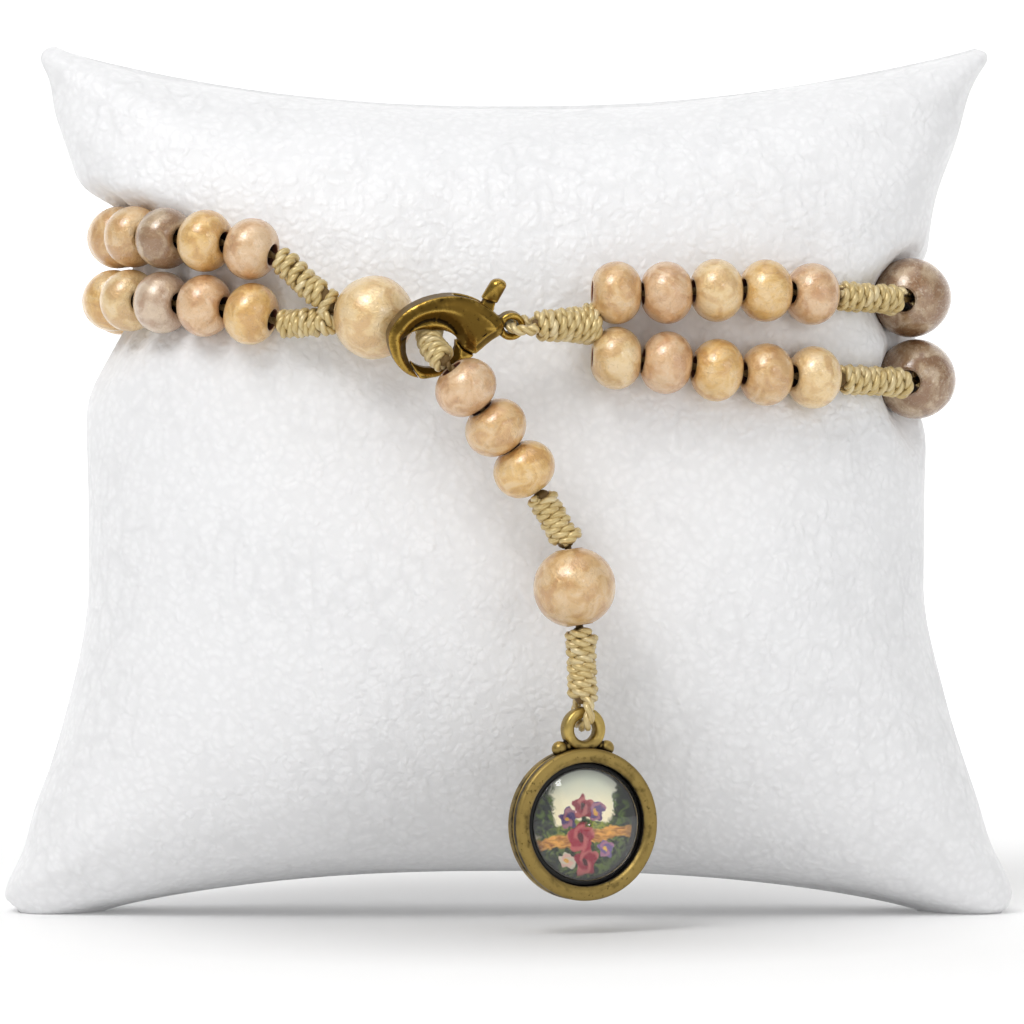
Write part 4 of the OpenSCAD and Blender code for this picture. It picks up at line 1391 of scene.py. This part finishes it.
@dataclass
class Cords:
    """Twisted gold cords, wound into barrel knots between the beads."""

    route: Route
    finish: TwistedCord
    knot_d: float = 3.1
    cord_d: float = 0.8
    clasp_knot_d: float = 3.9
    turn_pitch: float = 0.93
    ply_r: float = 0.33
    ply_off: float = 0.21
    ply_pitch: float = 2.1
    step: float = 0.13
    sides: int = 7
    hidden: float = 0.4
    last_share: float = 0.94
    held_share: float = 0.92
    eye_deep: float = 2.1
    ring_deep: float = 1.6

    def __post_init__(self) -> None:
        """Makes the one material that all cords share."""
        self._material = self.finish.material()

    def _plies(self, skin: Skin, line: Array, r: float, off: float, depth: Array | float,
               seed: float, pitch: float | None = None) -> None:
        """Adds a cord of two plies twisted about each other.

        Args:
            skin: The mesh to add to.
            line: The cord's middle line, closely spaced.
            r: Radius of a ply.
            off: Distance of a ply from the cord's middle.
            depth: How deep each point of the line lies, from 0 to 1.
            seed: Moves the fibres' pattern.
            pitch: Length of one twist.
        """
        _, side, other = frames_along(line)
        run = np.concatenate([[0], np.cumsum(np.linalg.norm(np.diff(line, axis=0), axis=1))])
        turn = 2 * np.pi * run / (pitch or self.ply_pitch)
        for k in (0, 1):
            angle = (turn + k * np.pi)[:, None]
            tube(skin, line + off * (np.cos(angle) * side + np.sin(angle) * other), r, self.sides,
                 depth, seed + 3.1 * k)

    def _thread(self, skin: Skin, line: Array, d: float, seed: float, deep: float = 0.35) -> None:
        """Adds a plain two-ply cord of a diameter along a line."""
        self._plies(skin, line, d * 0.28, d * 0.22, deep, seed, d * 1.9)

    def _wound(self, skin: Skin, way: Callable[[float], Array], length: float,
               shape: Sequence[Sequence[float]], seed: int, ear: float = 0.0) -> None:
        """Adds a wound knot.

        Args:
            skin: The mesh to add to.
            way: Point on the knot's axis at a length from its start.
            length: Length of the knot.
            shape: Rows of share of the length and outer radius.
            seed: Number of the knot, which makes it uneven.
            ear: Place of its bulge along the knot, from 0 to 1, or 0 for none.
        """
        turns = max(3, round(length / self.turn_pitch))
        thick = self.ply_r + self.ply_off
        places, reach = zip(*shape)
        count = int(turns * 2 * math.pi * (max(reach) - thick) / self.step)
        u = np.linspace(0, 1, count)
        angle = 2 * np.pi * turns * u + seed
        jitter = np.array([noise.noise(Vector((a * 0.24, seed * 4.7, 0))) for a in angle])
        slip = np.array([noise.noise(Vector((a * 0.31, seed * 2.9, 8))) for a in angle])
        margin = thick * 0.9 / length
        s = np.clip(margin + u * (1 - 2 * margin) + slip * 0.14 / length, 0.01, 0.99) * length
        axis = np.array([way(k) for k in s])
        steady = np.array([way(k) for k in np.linspace(0, length, 60)])
        _, side, other = frames_along(steady)
        pick = np.linspace(0, length, 60)
        side = np.stack([np.interp(s, pick, side[:, k]) for k in range(3)], axis=1)
        other = np.stack([np.interp(s, pick, other[:, k]) for k in range(3)], axis=1)
        r = np.maximum(np.interp(s / length, places, reach) - thick, 0.12) * (1 + 0.05 * jitter)
        if ear:
            lump = np.exp(-(((u - ear) / 0.07) ** 2)) * np.maximum(0, np.cos(angle - seed * 1.3))
            r = r + 0.34 * lump
        line = axis + (r * np.cos(angle))[:, None] * side + (r * np.sin(angle))[:, None] * other
        self._plies(skin, line, self.ply_r, self.ply_off, 0.12 + 0.2 * (0.5 - jitter), seed)
        core = np.maximum(np.interp(pick / length, places, reach) - thick * 1.25, 0.15)
        tube(skin, steady, core, 12, 1.0, seed)

    def _row(self, side: int) -> Skin:
        """Builds the cord of one row with its five knots.

        Args:
            side: 1 for the upper row, -1 for the lower.

        Returns:
            The mesh.
        """
        r = self.route
        skin = Skin()
        for i, start in enumerate(r.knots[:4]):
            self._wound(skin, lambda k, a=start: r.row(a + k, side), r.knot_l,
                        swollen(BARREL, self.knot_d / 2), 11 + 3 * i + side,
                        EAR_FIRST if i % 2 else EAR_LAST)
        self._wound(skin, lambda k: r.row(r.last_knot + k, side), r.last_knot_run + r.hub_run * 0.6,
                    swollen(LAST_KNOT, self.knot_d / 2 * self.last_share), 29 + side, 0.88)
        hidden = self.hidden
        runs = [(r.row_start + 0.3, r.first_knot + hidden)]
        runs += [(a + r.knot_l - hidden, b + hidden) for a, b in zip(r.knots, r.knots[1:])]
        for i, (start, end) in enumerate(runs):
            places = np.arange(start, end, 0.35)
            line = np.array([r.row(s, side) for s in places])
            self._thread(skin, line, self.cord_d, 5.0 * i + side, 1.0)
        places = np.arange(r.row_end - r.hub_run - 0.5, r.row_end - 0.1, 0.15)
        tail = [r.row(s, side) for s in places]
        bore = r.row(r.row_end + r.centre_l, 0) - r.row(r.row_end, 0)
        inner = r.row(r.row_end, side) + 0.2 * bore
        self._thread(skin, np.array([*tail, inner]), self.cord_d * 0.68, 31.0 + side)
        return skin

    def _u_bend(self, depth: float, d: float, rim: float, reach: float) -> Array:
        """Bends a cord through a hole. x stays 0, y crosses the hole, z points away from it.

        Args:
            depth: Depth of the hole.
            d: Diameter of the cord.
            rim: Width of the metal round the hole.
            reach: How far the ends go.

        Returns:
            The cord's line.
        """
        half = depth / 2 + d / 2 + 0.18
        rise = half * 0.9 - 0.06
        bend = [(-half * power(math.cos(a), 2 / 3), rise - half * 0.9 * power(math.sin(a), 2 / 3))
                for a in np.radians(np.arange(0, 181, 7.5))]
        top = max(rim, rise + d / 4)
        corner = [(-d * 0.45, reach), (-half, top), *bend, (half, top), (d * 0.45, reach)]
        flat = np.array(corner)
        run = np.concatenate([[0], np.cumsum(np.linalg.norm(np.diff(flat, axis=0), axis=1))])
        even = np.arange(0, run[-1], 0.16)
        return np.stack([np.zeros(len(even)), np.interp(even, run, flat[:, 0]),
                         np.interp(even, run, flat[:, 1])], axis=1)

    def _clasp_knot(self) -> Skin:
        """Builds the knot between the clasp and the rows, with the loop through the eye."""
        r = self.route
        start = r.eye + np.array([r.eye_r + 0.7, 0, 0])
        way = r.row(r.row_start + 0.85, 0) - start
        length = float(np.linalg.norm(way))

        def axis(k: float) -> Array:
            """Point on the knot's axis."""
            u = k / length
            return start + np.array([way[0] * u, way[1] * smooth(u), way[2] * smooth(u)])

        skin = Skin()
        self._wound(skin, axis, length, swollen(CLASP_KNOT, self.clasp_knot_d / 2), 3, 0.9)
        line = self._u_bend(self.eye_deep, r.loop_d, r.eye_r, r.eye_r + 1.12)
        turned = np.array([r.clasp_turned(np.array([p[2], p[1], -p[0]])) for p in line]) + r.eye
        self._thread(skin, turned, r.loop_d, 44.0, 0.15)
        return skin

    def _pendant(self) -> Skin:
        """Builds the pendant strand's cord with its knots and the medal's loop."""
        r = self.route
        skin = Skin()
        knots = ((r.held_knot, r.held_knot_l, self.held_share, NO_EAR),
                 (r.strand_knot_2, r.short_knot_l, 1.0, EAR_LAST),
                 (r.strand_knot_3, r.medal_knot_l, 1.0, EAR_FIRST))
        for i, (start, length, share, ear) in enumerate(knots):
            self._wound(skin, lambda k, a=start: r.strand(a + k), length,
                        swollen(BARREL, self.knot_d / 2 * share), 52 + 5 * i, ear)
        hidden = self.hidden
        runs = [(0.05, r.held_knot + hidden),
                (r.held_knot + r.held_knot_l - hidden, r.strand_knot_2 + hidden),
                (r.strand_knot_2 + r.short_knot_l - hidden, r.strand_knot_3 + hidden)]
        for i, (start, end) in enumerate(runs):
            places = np.arange(start, end, 0.3)
            self._thread(skin, np.array([r.strand(s) for s in places]), self.cord_d, 61.0 + i, 1.0)
        reach = r.foot[2] - r.hinge[2] + 0.7
        line = self._u_bend(self.ring_deep, r.loop_d, r.ring_wall + r.loop_d, reach)
        turned = np.array([turn_z(p, r.medal_yaw) for p in line]) + r.hinge
        self._plies(skin, turned, r.loop_d * 0.3, r.loop_d * 0.22, 0.15, 71.0, -r.loop_d * 2.4)
        return skin

    def build(self) -> list[bpy.types.Object]:
        """Builds all cords."""
        made = []
        for skin, name, node in (
            (self._row(1), "upper_wound_cord", "upper_row_cord"),
            (self._row(-1), "lower_wound_cord", "lower_row_cord"),
            (self._clasp_knot(), "clasp_wound_knot", "clasp_knot"),
            (self._pendant(), "pendant_wound_cord", "pendant_cord"),
        ):
            piece = skin.build(name, self._material)
            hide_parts(node)
            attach(piece, "bracelet_on_pillow")
            made.append(piece)
        return made


# ---------------------------------------------------------------- clasp and medal


@dataclass
class Clasp:
    """Lobster clasp of cast brass: body with hook, hole and eye, and a lever with a thumb nub."""

    route: Route
    nodes: Mapping[str, bpy.types.Object]
    brass: bpy.types.Material
    voxel: float = 0.085
    body_rounds: int = 22
    lever_rounds: int = 8
    claw_r: float = 2.4
    lip: float = 1.0
    nub_lean: float = 16.0
    nub_clear: float = 0.95
    nub_short: float = 0.84
    nub_wide: float = 1.2
    nub_shear: float = 0.16
    dome_reach: float = 1.7
    dome_fall: float = 0.46
    gate_push: float = 0.1
    pin_lift: float = 0.07

    def _plug(self, skin: Skin, r: float, y: float) -> None:
        """Adds a disc that closes the pin's bore on one face, so that only the skin shows."""
        flat = np.array([(0.01, 0.3), (r, 0.3), (r, -0.3), (0.01, -0.3)])
        points, faces = lathe(flat, 24)
        flat_on = np.stack([points[:, 0], points[:, 2], points[:, 1]], axis=1)
        self._add_turned(skin, flat_on + self.route.pin + np.array([0, y, 0]), faces)

    def _add_turned(self, skin: Skin, points: Array, faces: Iterable[Sequence[int]]) -> None:
        """Adds points given in the clasp's own frame."""
        turned = np.array([self.route.clasp_turned(p) for p in points])
        skin.add(turned + self.route.clasp_at, faces)

    def _inner_lip(self, skin: Skin) -> None:
        """Adds the crescent that narrows the claw's hole at its top, on the front half alone.

        Args:
            skin: The mesh to add to.
        """
        turn = np.radians(np.linspace(8, 168, 33))
        front, back = -self.route.clasp_t / 2 + 0.04, -0.25
        rows = []
        for a in turn:
            share = math.sin((a - turn[0]) / (turn[-1] - turn[0]) * math.pi)
            inner, outer = self.claw_r + 0.3 - (self.lip + 0.3) * share, self.claw_r + 0.9
            rows += [(r * math.cos(a), y, r * math.sin(a)) for r, y in (
                (outer, front), (inner, front + 0.2), (inner, back), (outer, back))]
        faces = [*grid(len(turn), 4), (3, 2, 1, 0), tuple(len(rows) - 4 + k for k in range(4))]
        self._add_turned(skin, np.array(rows), faces)

    def _body_blank(self) -> bpy.types.Object:
        """Joins the solid body with its lip and the closed bore."""
        mesh = self.nodes["clasp_body"].data
        places = np.empty(len(mesh.vertices) * 3)
        mesh.vertices.foreach_get("co", places)
        skin = Skin()
        skin.add(places.reshape(-1, 3) / MM, [tuple(f.vertices) for f in mesh.polygons])
        self._inner_lip(skin)
        for y in (-self.route.clasp_t / 2 + 0.31, self.route.clasp_t / 2 - 0.31):
            self._plug(skin, 0.75, y)
        return skin.build("clasp_blank", self.brass)

    def _local(self, piece: bpy.types.Object) -> tuple[Array, Array, Array]:
        """Gives a piece's points and normals in the clasp's own frame, and the way back from it."""
        turned = np.array([self.route.clasp_turned(axis) for axis in np.eye(3)])
        count = len(piece.data.vertices)
        points, normals = np.empty(count * 3), np.empty(count * 3)
        piece.data.vertices.foreach_get("co", points)
        piece.data.vertices.foreach_get("normal", normals)
        points = (points.reshape(-1, 3) / MM - self.route.clasp_at) @ turned.T
        return points, normals.reshape(-1, 3) @ turned.T, turned

    def _put_back(self, piece: bpy.types.Object, points: Array, turned: Array) -> None:
        """Moves a piece's points to places given in the clasp's own frame."""
        placed = (points @ turned + self.route.clasp_at) * MM
        piece.data.vertices.foreach_set("co", placed.ravel())
        piece.data.update()
        mark_wear(piece)

    def _dome(self, points: Array, normals: Array) -> None:
        """Rounds the flat faces down towards the outline, as far as the dome reaches."""
        walls = np.flatnonzero((np.abs(normals[:, 1]) < 0.5) & (np.abs(points[:, 1]) > 0.62))
        tree = KDTree(len(walls))
        for k in walls:
            tree.insert((points[k, 0], 0.0, points[k, 2]), int(k))
        tree.balance()
        near = np.array([tree.find((p[0], 0.0, p[2]))[2] for p in points])
        fall = np.clip(1 - near / self.dome_reach, 0, 1) ** 2
        points[:, 1] *= 1 - self.dome_fall * fall

    def _hide_pin(self, points: Array) -> None:
        """Lifts the faces over the pin's ends, so that they do not show."""
        x, _, z = (points - self.route.pin).T
        near = np.clip((2.4 - np.hypot(x, z)) / 1.4, 0, 1)
        lift = self.pin_lift * near * (np.abs(points[:, 1]) > 1.2)
        points[:, 1] += np.sign(points[:, 1]) * lift

    def _close_gate(self, points: Array) -> None:
        """Brings the lever's gate nearer to the claw's tip, so that only a fine seam shows."""
        x, _, z = (points - self.route.pin).T
        r = np.maximum(np.hypot(x, z), 1e-6)
        push = self.gate_push * np.clip((r - 6.4) / 0.6, 0, 1) * (z < 0)
        points[:, 0] += x / r * push
        points[:, 2] += z / r * push

    def _shape_nub(self, points: Array) -> None:
        """Makes the lever's thumb nub shorter and stouter than its solid's, and leans it more.

        Args:
            points: The lever's points in the clasp's own frame, which are changed.
        """
        r = self.route
        foot = np.array([r.clasp_l * 0.475, 0.0, r.clasp_h * 0.42])
        lean = math.radians(self.nub_lean)
        way = np.array([math.sin(lean), 0.0, math.cos(lean)])
        across = np.array([way[2], 0.0, -way[0]])
        away = points - foot
        run = away @ way
        over = run - self.nub_clear
        picked = over > 0
        side = away - np.outer(run, way)
        wide = self.nub_wide * (1 - 0.06 * np.clip(over / 2.4, 0, 1))
        moved = (foot + np.outer(self.nub_clear + over * self.nub_short, way) + side * wide[:, None]
                 + np.outer(over * self.nub_shear, across))
        points[picked] = moved[picked]

    def build(self) -> list[bpy.types.Object]:
        """Builds the cast body and the lever. The pin is hidden in its bore."""
        blank = self._body_blank()
        body = soft_cast(blank, "cast_clasp_body", self.voxel, self.body_rounds, self.brass)
        bpy.data.objects.remove(blank)
        points, normals, turned = self._local(body)
        self._dome(points, normals)
        self._hide_pin(points)
        self._put_back(body, points, turned)
        lever = soft_cast(self.nodes["clasp_lever"], "cast_clasp_lever", self.voxel,
                          self.lever_rounds, self.brass)
        points, normals, turned = self._local(lever)
        self._dome(points, normals)
        self._close_gate(points)
        self._shape_nub(points)
        self._put_back(lever, points, turned)
        for piece, node, rides in ((body, "clasp_body", "bracelet_on_pillow"),
                                   (lever, "clasp_lever", "clasp_lever")):
            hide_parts(node)
            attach(piece, rides)
        for slot in self.nodes["clasp_pin"].material_slots:
            slot.material = self.brass
        return [body, lever]


# Turned steps of the medal's case: distance from its inner or outer edge, rise over its face.
BEZEL_STEPS = ((0.1, -0.24), (0.22, -0.1), (0.36, -0.01), (0.52, 0.05), (0.7, 0.04))
GROOVE_STEPS = ((0, 0.36), (0.04, 0.3), (0.13, 0.24), (0.13, 0.14), (0.04, 0.08), (0, 0.02),
                (0, -0.4))
BACK_STEPS = ((1.0, 0.0), (1.25, 0.05), (1.4, 0.16), (1.6, 0.2), (3.0, 0.14), (5.0, 0.06))

# Beads of metal beside the ring: degrees from the top, rise over the case's edge, diameter.
RING_BEADS = ((18.5, 0.32, 1.5), (12, 0.4, 1.1))


@dataclass
class Medal:
    """Round brass medal with a ring, a picture in a dark recess and a glass dome."""

    route: Route
    brass: bpy.types.Material
    picture: GardenPrint
    glass: ClearDome
    medal_d: float = 14.4
    medal_t: float = 2.7
    bezel_w: float = 1.4
    recess: float = 1.1
    dome_gap: float = 0.4
    dome_proud: float = 0.35
    picture_t: float = 0.2
    ring_r: float = 1.85
    ring_t: float = 1.6
    ring_voxel: float = 0.075
    ring_rounds: int = 3
    ring_stout: float = 0.3
    around: int = 128

    def __post_init__(self) -> None:
        """Works out how far the ring's and the medal's middles hang below the hinge."""
        r = self.route
        self.ring_in = self.ring_r - r.ring_wall
        self.ring_drop = self.ring_in - r.loop_d / 2 - r.ring_seat
        self.drop = self.ring_drop + self.ring_r + self.medal_d / 2 - 0.12

    def _hung(self, points: Array, drop: float) -> Array:
        """Turns points about z to face forward, and hangs them below the hinge."""
        r = self.route
        facing = np.stack([points[:, 0], -points[:, 2], points[:, 1] - drop], axis=1)
        return np.array([turn_z(p, r.medal_yaw) for p in facing]) + r.hinge

    def _lathed(self, profile: Sequence[Sequence[float]], drop: float,
                steps: int) -> tuple[Array, Array]:
        """Turns a profile about the medal's axis."""
        points, faces = lathe(np.array(profile, dtype=float), steps)
        return self._hung(points, drop), faces

    def _place(self, piece: bpy.types.Object, node: str) -> bpy.types.Object:
        """Puts a piece in the place of a solid of the medal."""
        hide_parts(node)
        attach(piece, "medal")
        return piece

    def _case(self) -> bpy.types.Object:
        """Builds the round case with its bezel, side groove and stepped back."""
        out_r, front = self.medal_d / 2, self.medal_t / 2
        in_r = out_r - self.bezel_w
        soft = self.medal_t * 0.16
        bend = np.radians(np.arange(90, -1, -11.25))
        floor = front - self.recess
        profile = [(0.02, floor), *[(k, floor) for k in np.linspace(0.6, in_r - 0.1, 10)],
                   (in_r, floor + 0.08), (in_r, floor + 0.4), (in_r + 0.02, front - 0.42)]
        dark = len(profile)
        profile += [(in_r + k, front + rise) for k, rise in BEZEL_STEPS]
        profile += [(out_r - soft, front - 0.03)]
        profile += [(out_r - soft + soft * math.cos(a), front - soft - 0.04 + soft * math.sin(a))
                    for a in bend[1:]]
        profile += [(out_r - k, rise) for k, rise in GROOVE_STEPS]
        profile += [(out_r - soft + soft * math.cos(a), -front + soft - soft * math.sin(a))
                    for a in bend[::-1]]
        profile += [(out_r - k, -front + rise) for k, rise in BACK_STEPS]
        profile += [(0.02, -front + 0.03)]
        points, faces = self._lathed(profile, self.drop, self.around)
        # The recess's floor and wall are marked for the brass's near-black painted shade.
        enamel = np.repeat([1.0 if i < dark else 0.0 for i in range(len(profile))], self.around)
        skin = Skin()
        skin.add(points, faces, enamel=enamel)
        made = skin.build("medal_bezel", self.brass)
        mark_wear(made, 1)
        return self._place(made, "medal_case")

    def _ring(self) -> bpy.types.Object:
        """Builds the cast ring on top of the case, with two beads of metal on each side."""
        half, wall = self.ring_t / 2, self.route.ring_wall + self.ring_stout
        middle = self.ring_in + wall / 2
        turn = np.radians(np.arange(0, 360, 18))
        band = [(middle + wall / 2 * power(math.cos(a), 0.7), half * power(math.sin(a), 0.7))
                for a in turn]
        skin = Skin()
        skin.add(*self._lathed(band, self.ring_drop, 48))
        out_r = self.medal_d / 2
        ball = [(max(0.01, math.sin(a)), math.cos(a)) for a in np.radians(np.arange(0, 181, 9))]
        for side in (-1, 1):
            for angle, rise, d in RING_BEADS:
                points, faces = lathe(np.array(ball), 28)
                a = math.radians(angle * side)
                at = np.array([math.sin(a) * (out_r + rise), math.cos(a) * (out_r + rise), 0])
                skin.add(self._hung(points * d / 2 + at, self.drop), faces)
        rough = skin.build("ring_blank", self.brass)
        made = soft_cast(rough, "medal_ring", self.ring_voxel, self.ring_rounds, self.brass)
        bpy.data.objects.remove(rough)
        self._darken_foot(made)
        return self._place(made, "medal_case")

    def _darken_foot(self, piece: bpy.types.Object) -> None:
        """Leaves the ring dark where it meets the case."""
        centre = self.route.hinge - np.array([0, 0, self.drop])
        places = np.empty(len(piece.data.vertices) * 3)
        piece.data.vertices.foreach_get("co", places)
        above = np.linalg.norm(places.reshape(-1, 3) / MM - centre, axis=1) - self.medal_d / 2
        wear = np.empty(len(above))
        marks = piece.data.attributes["wear"].data
        marks.foreach_get("value", wear)
        marks.foreach_set("value", wear * np.clip(0.1 + above / 1.3, 0.0, 1.0))

    def _print(self) -> bpy.types.Object:
        """Builds the printed disc."""
        low = self.medal_t / 2 - self.recess + 0.02
        top = low + self.picture_t
        out = self.medal_d / 2 - self.bezel_w - 0.05
        profile = [(0.01, top), *[(k, top) for k in np.linspace(0.5, out - 0.04, 12)],
                   (out, top - 0.04), (out, low), (0.01, low)]
        points, faces = lathe(np.array(profile), 96)
        skin = Skin()
        skin.add(self._hung(points, self.drop), faces,
                 disc=np.stack([points[:, 0] / out, points[:, 1] / out, 0 * points[:, 0]], axis=1))
        disc = skin.build("garden_disc", self.picture.material())
        return self._place(disc, "medal_picture")

    def _dome(self) -> bpy.types.Object:
        """Builds the glass dome."""
        r = self.medal_d / 2 - self.bezel_w - self.dome_gap
        base = self.medal_t / 2 - self.recess + self.picture_t + 0.04
        h = self.medal_t / 2 + self.dome_proud - base
        crown = h * 0.7
        ball = (r * r + crown * crown) / (2 * crown)
        top = math.asin(r / ball)
        arc = [(max(0.01, ball * math.sin(a)), base + h - ball + ball * math.cos(a))
               for a in np.linspace(0, top, 22)]
        profile = [*arc, (r, base + 0.05), (r - 0.05, base), (r / 2, base), (0.01, base)]
        skin = Skin()
        skin.add(*self._lathed(profile, self.drop, 96))
        dome = self._place(skin.build("dome", self.glass.material()), "medal_dome")
        dome.visible_shadow = False
        return dome

    def build(self) -> list[bpy.types.Object]:
        """Builds all pieces of the medal."""
        return [self._case(), self._ring(), self._print(), self._dome()]


# ---------------------------------------------------------------- studio


@dataclass
class Studio:
    """White floor, soft lights and the camera at the photograph's angle."""

    floor: StudioFloor
    stand_back: float
    distance: float = 600.0
    rise: float = 47.1
    pitch: float = -0.73
    lens: float = 213.4
    world: float = 0.38

    def _light(self, name: str, at: Sequence[float], aim: Sequence[float], size: float,
               power_w: float) -> None:
        """Adds a soft light, round when it is large and square when it is small.

        Args:
            name: The light's name.
            at: Its place in metres.
            aim: The point that it faces.
            size: Its width in metres.
            power_w: Its power in watts.
        """
        data = bpy.data.lights.new(name, "AREA")
        data.shape = "DISK" if size > 0.1 else "SQUARE"
        data.size = size
        data.energy = power_w
        lamp = bpy.data.objects.new(name, data)
        lamp.location = at
        lamp.rotation_euler = (Vector(aim) - Vector(at)).to_track_quat("-Z", "Y").to_euler()
        bpy.context.scene.collection.objects.link(lamp)

    def _sweep(self) -> bpy.types.Object:
        """Builds the floor, which curves up far behind into a backdrop."""
        line = [(-2.0, 0.0), (0.6, 0.0)]
        line += [(0.6 + 0.4 * math.sin(a), 0.4 - 0.4 * math.cos(a))
                 for a in np.radians(range(6, 91, 6))]
        line += [(1.0, 2.4)]
        points = np.array([(x / MM, y / MM, z / MM) for y, z in line for x in (-2.5, 2.5)])
        skin = Skin()
        skin.add(points, grid(len(line), 2, around=False))
        return skin.build("floor", self.floor.material())

    def build(self) -> None:
        """Sets up camera, lights, world and floor."""
        scene = bpy.context.scene
        data = bpy.data.cameras.new("camera")
        data.lens = self.lens
        data.sensor_width = 36.0
        data.clip_start = 0.01
        camera = bpy.data.objects.new("camera", data)
        camera.location = (0.0, (self.stand_back - self.distance) * MM, self.rise * MM)
        camera.rotation_euler = (math.radians(90 + self.pitch), 0.0, 0.0)
        scene.collection.objects.link(camera)
        scene.camera = camera
        for name, at, aim_z, size, power_w in (
            ("key", (-0.30, -0.46, 0.62), 0.04, 0.46, 2.4),
            ("fill", (0.5, -0.5, 0.2), 0.04, 0.5, 0.6),
            ("top", (0.05, -0.16, 0.7), 0.04, 0.5, 0.6),
            ("window", (0.33, -0.70, 0.32), 0.02, 0.05, 0.16),
            ("spark", (-0.26, -0.5, 0.6), 0.04, 0.12, 0.42),
        ):
            self._light(name, at, (0, 0, aim_z), size, power_w)
        world = bpy.data.worlds.new("studio")
        world.use_nodes = True
        back = world.node_tree.nodes["Background"]
        back.inputs["Color"].default_value = (1.0, 1.0, 1.0, 1.0)
        back.inputs["Strength"].default_value = self.world
        scene.world = world
        scene.view_settings.view_transform = "Standard"
        self._sweep()


# ---------------------------------------------------------------- all together


def main() -> None:
    """Builds every piece on the frame and logs each piece's face count."""
    logging.basicConfig(level=logging.INFO, format="%(name)s: %(message)s")
    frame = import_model()
    route = Route()
    brass = AgedBrass().material()
    Studio(StudioFloor(), route.stand_back).build()
    pieces = [Pillow(route, PebbledLeather()).build()]
    pieces += Beads(route, PearlWood()).build()
    pieces += Cords(route, TwistedCord()).build()
    pieces += Clasp(route, frame["nodes"], brass).build()
    matt = AgedBrass("matt_brass", body=paint(158, 135, 78), bright=paint(208, 180, 104), rough=0.4)
    pieces += Medal(route, matt.material(), GardenPrint(), ClearDome()).build()
    for piece in pieces:
        LOG.info("%s: %d faces", piece.name, len(piece.data.polygons))


if __name__ == "__main__":
    main()
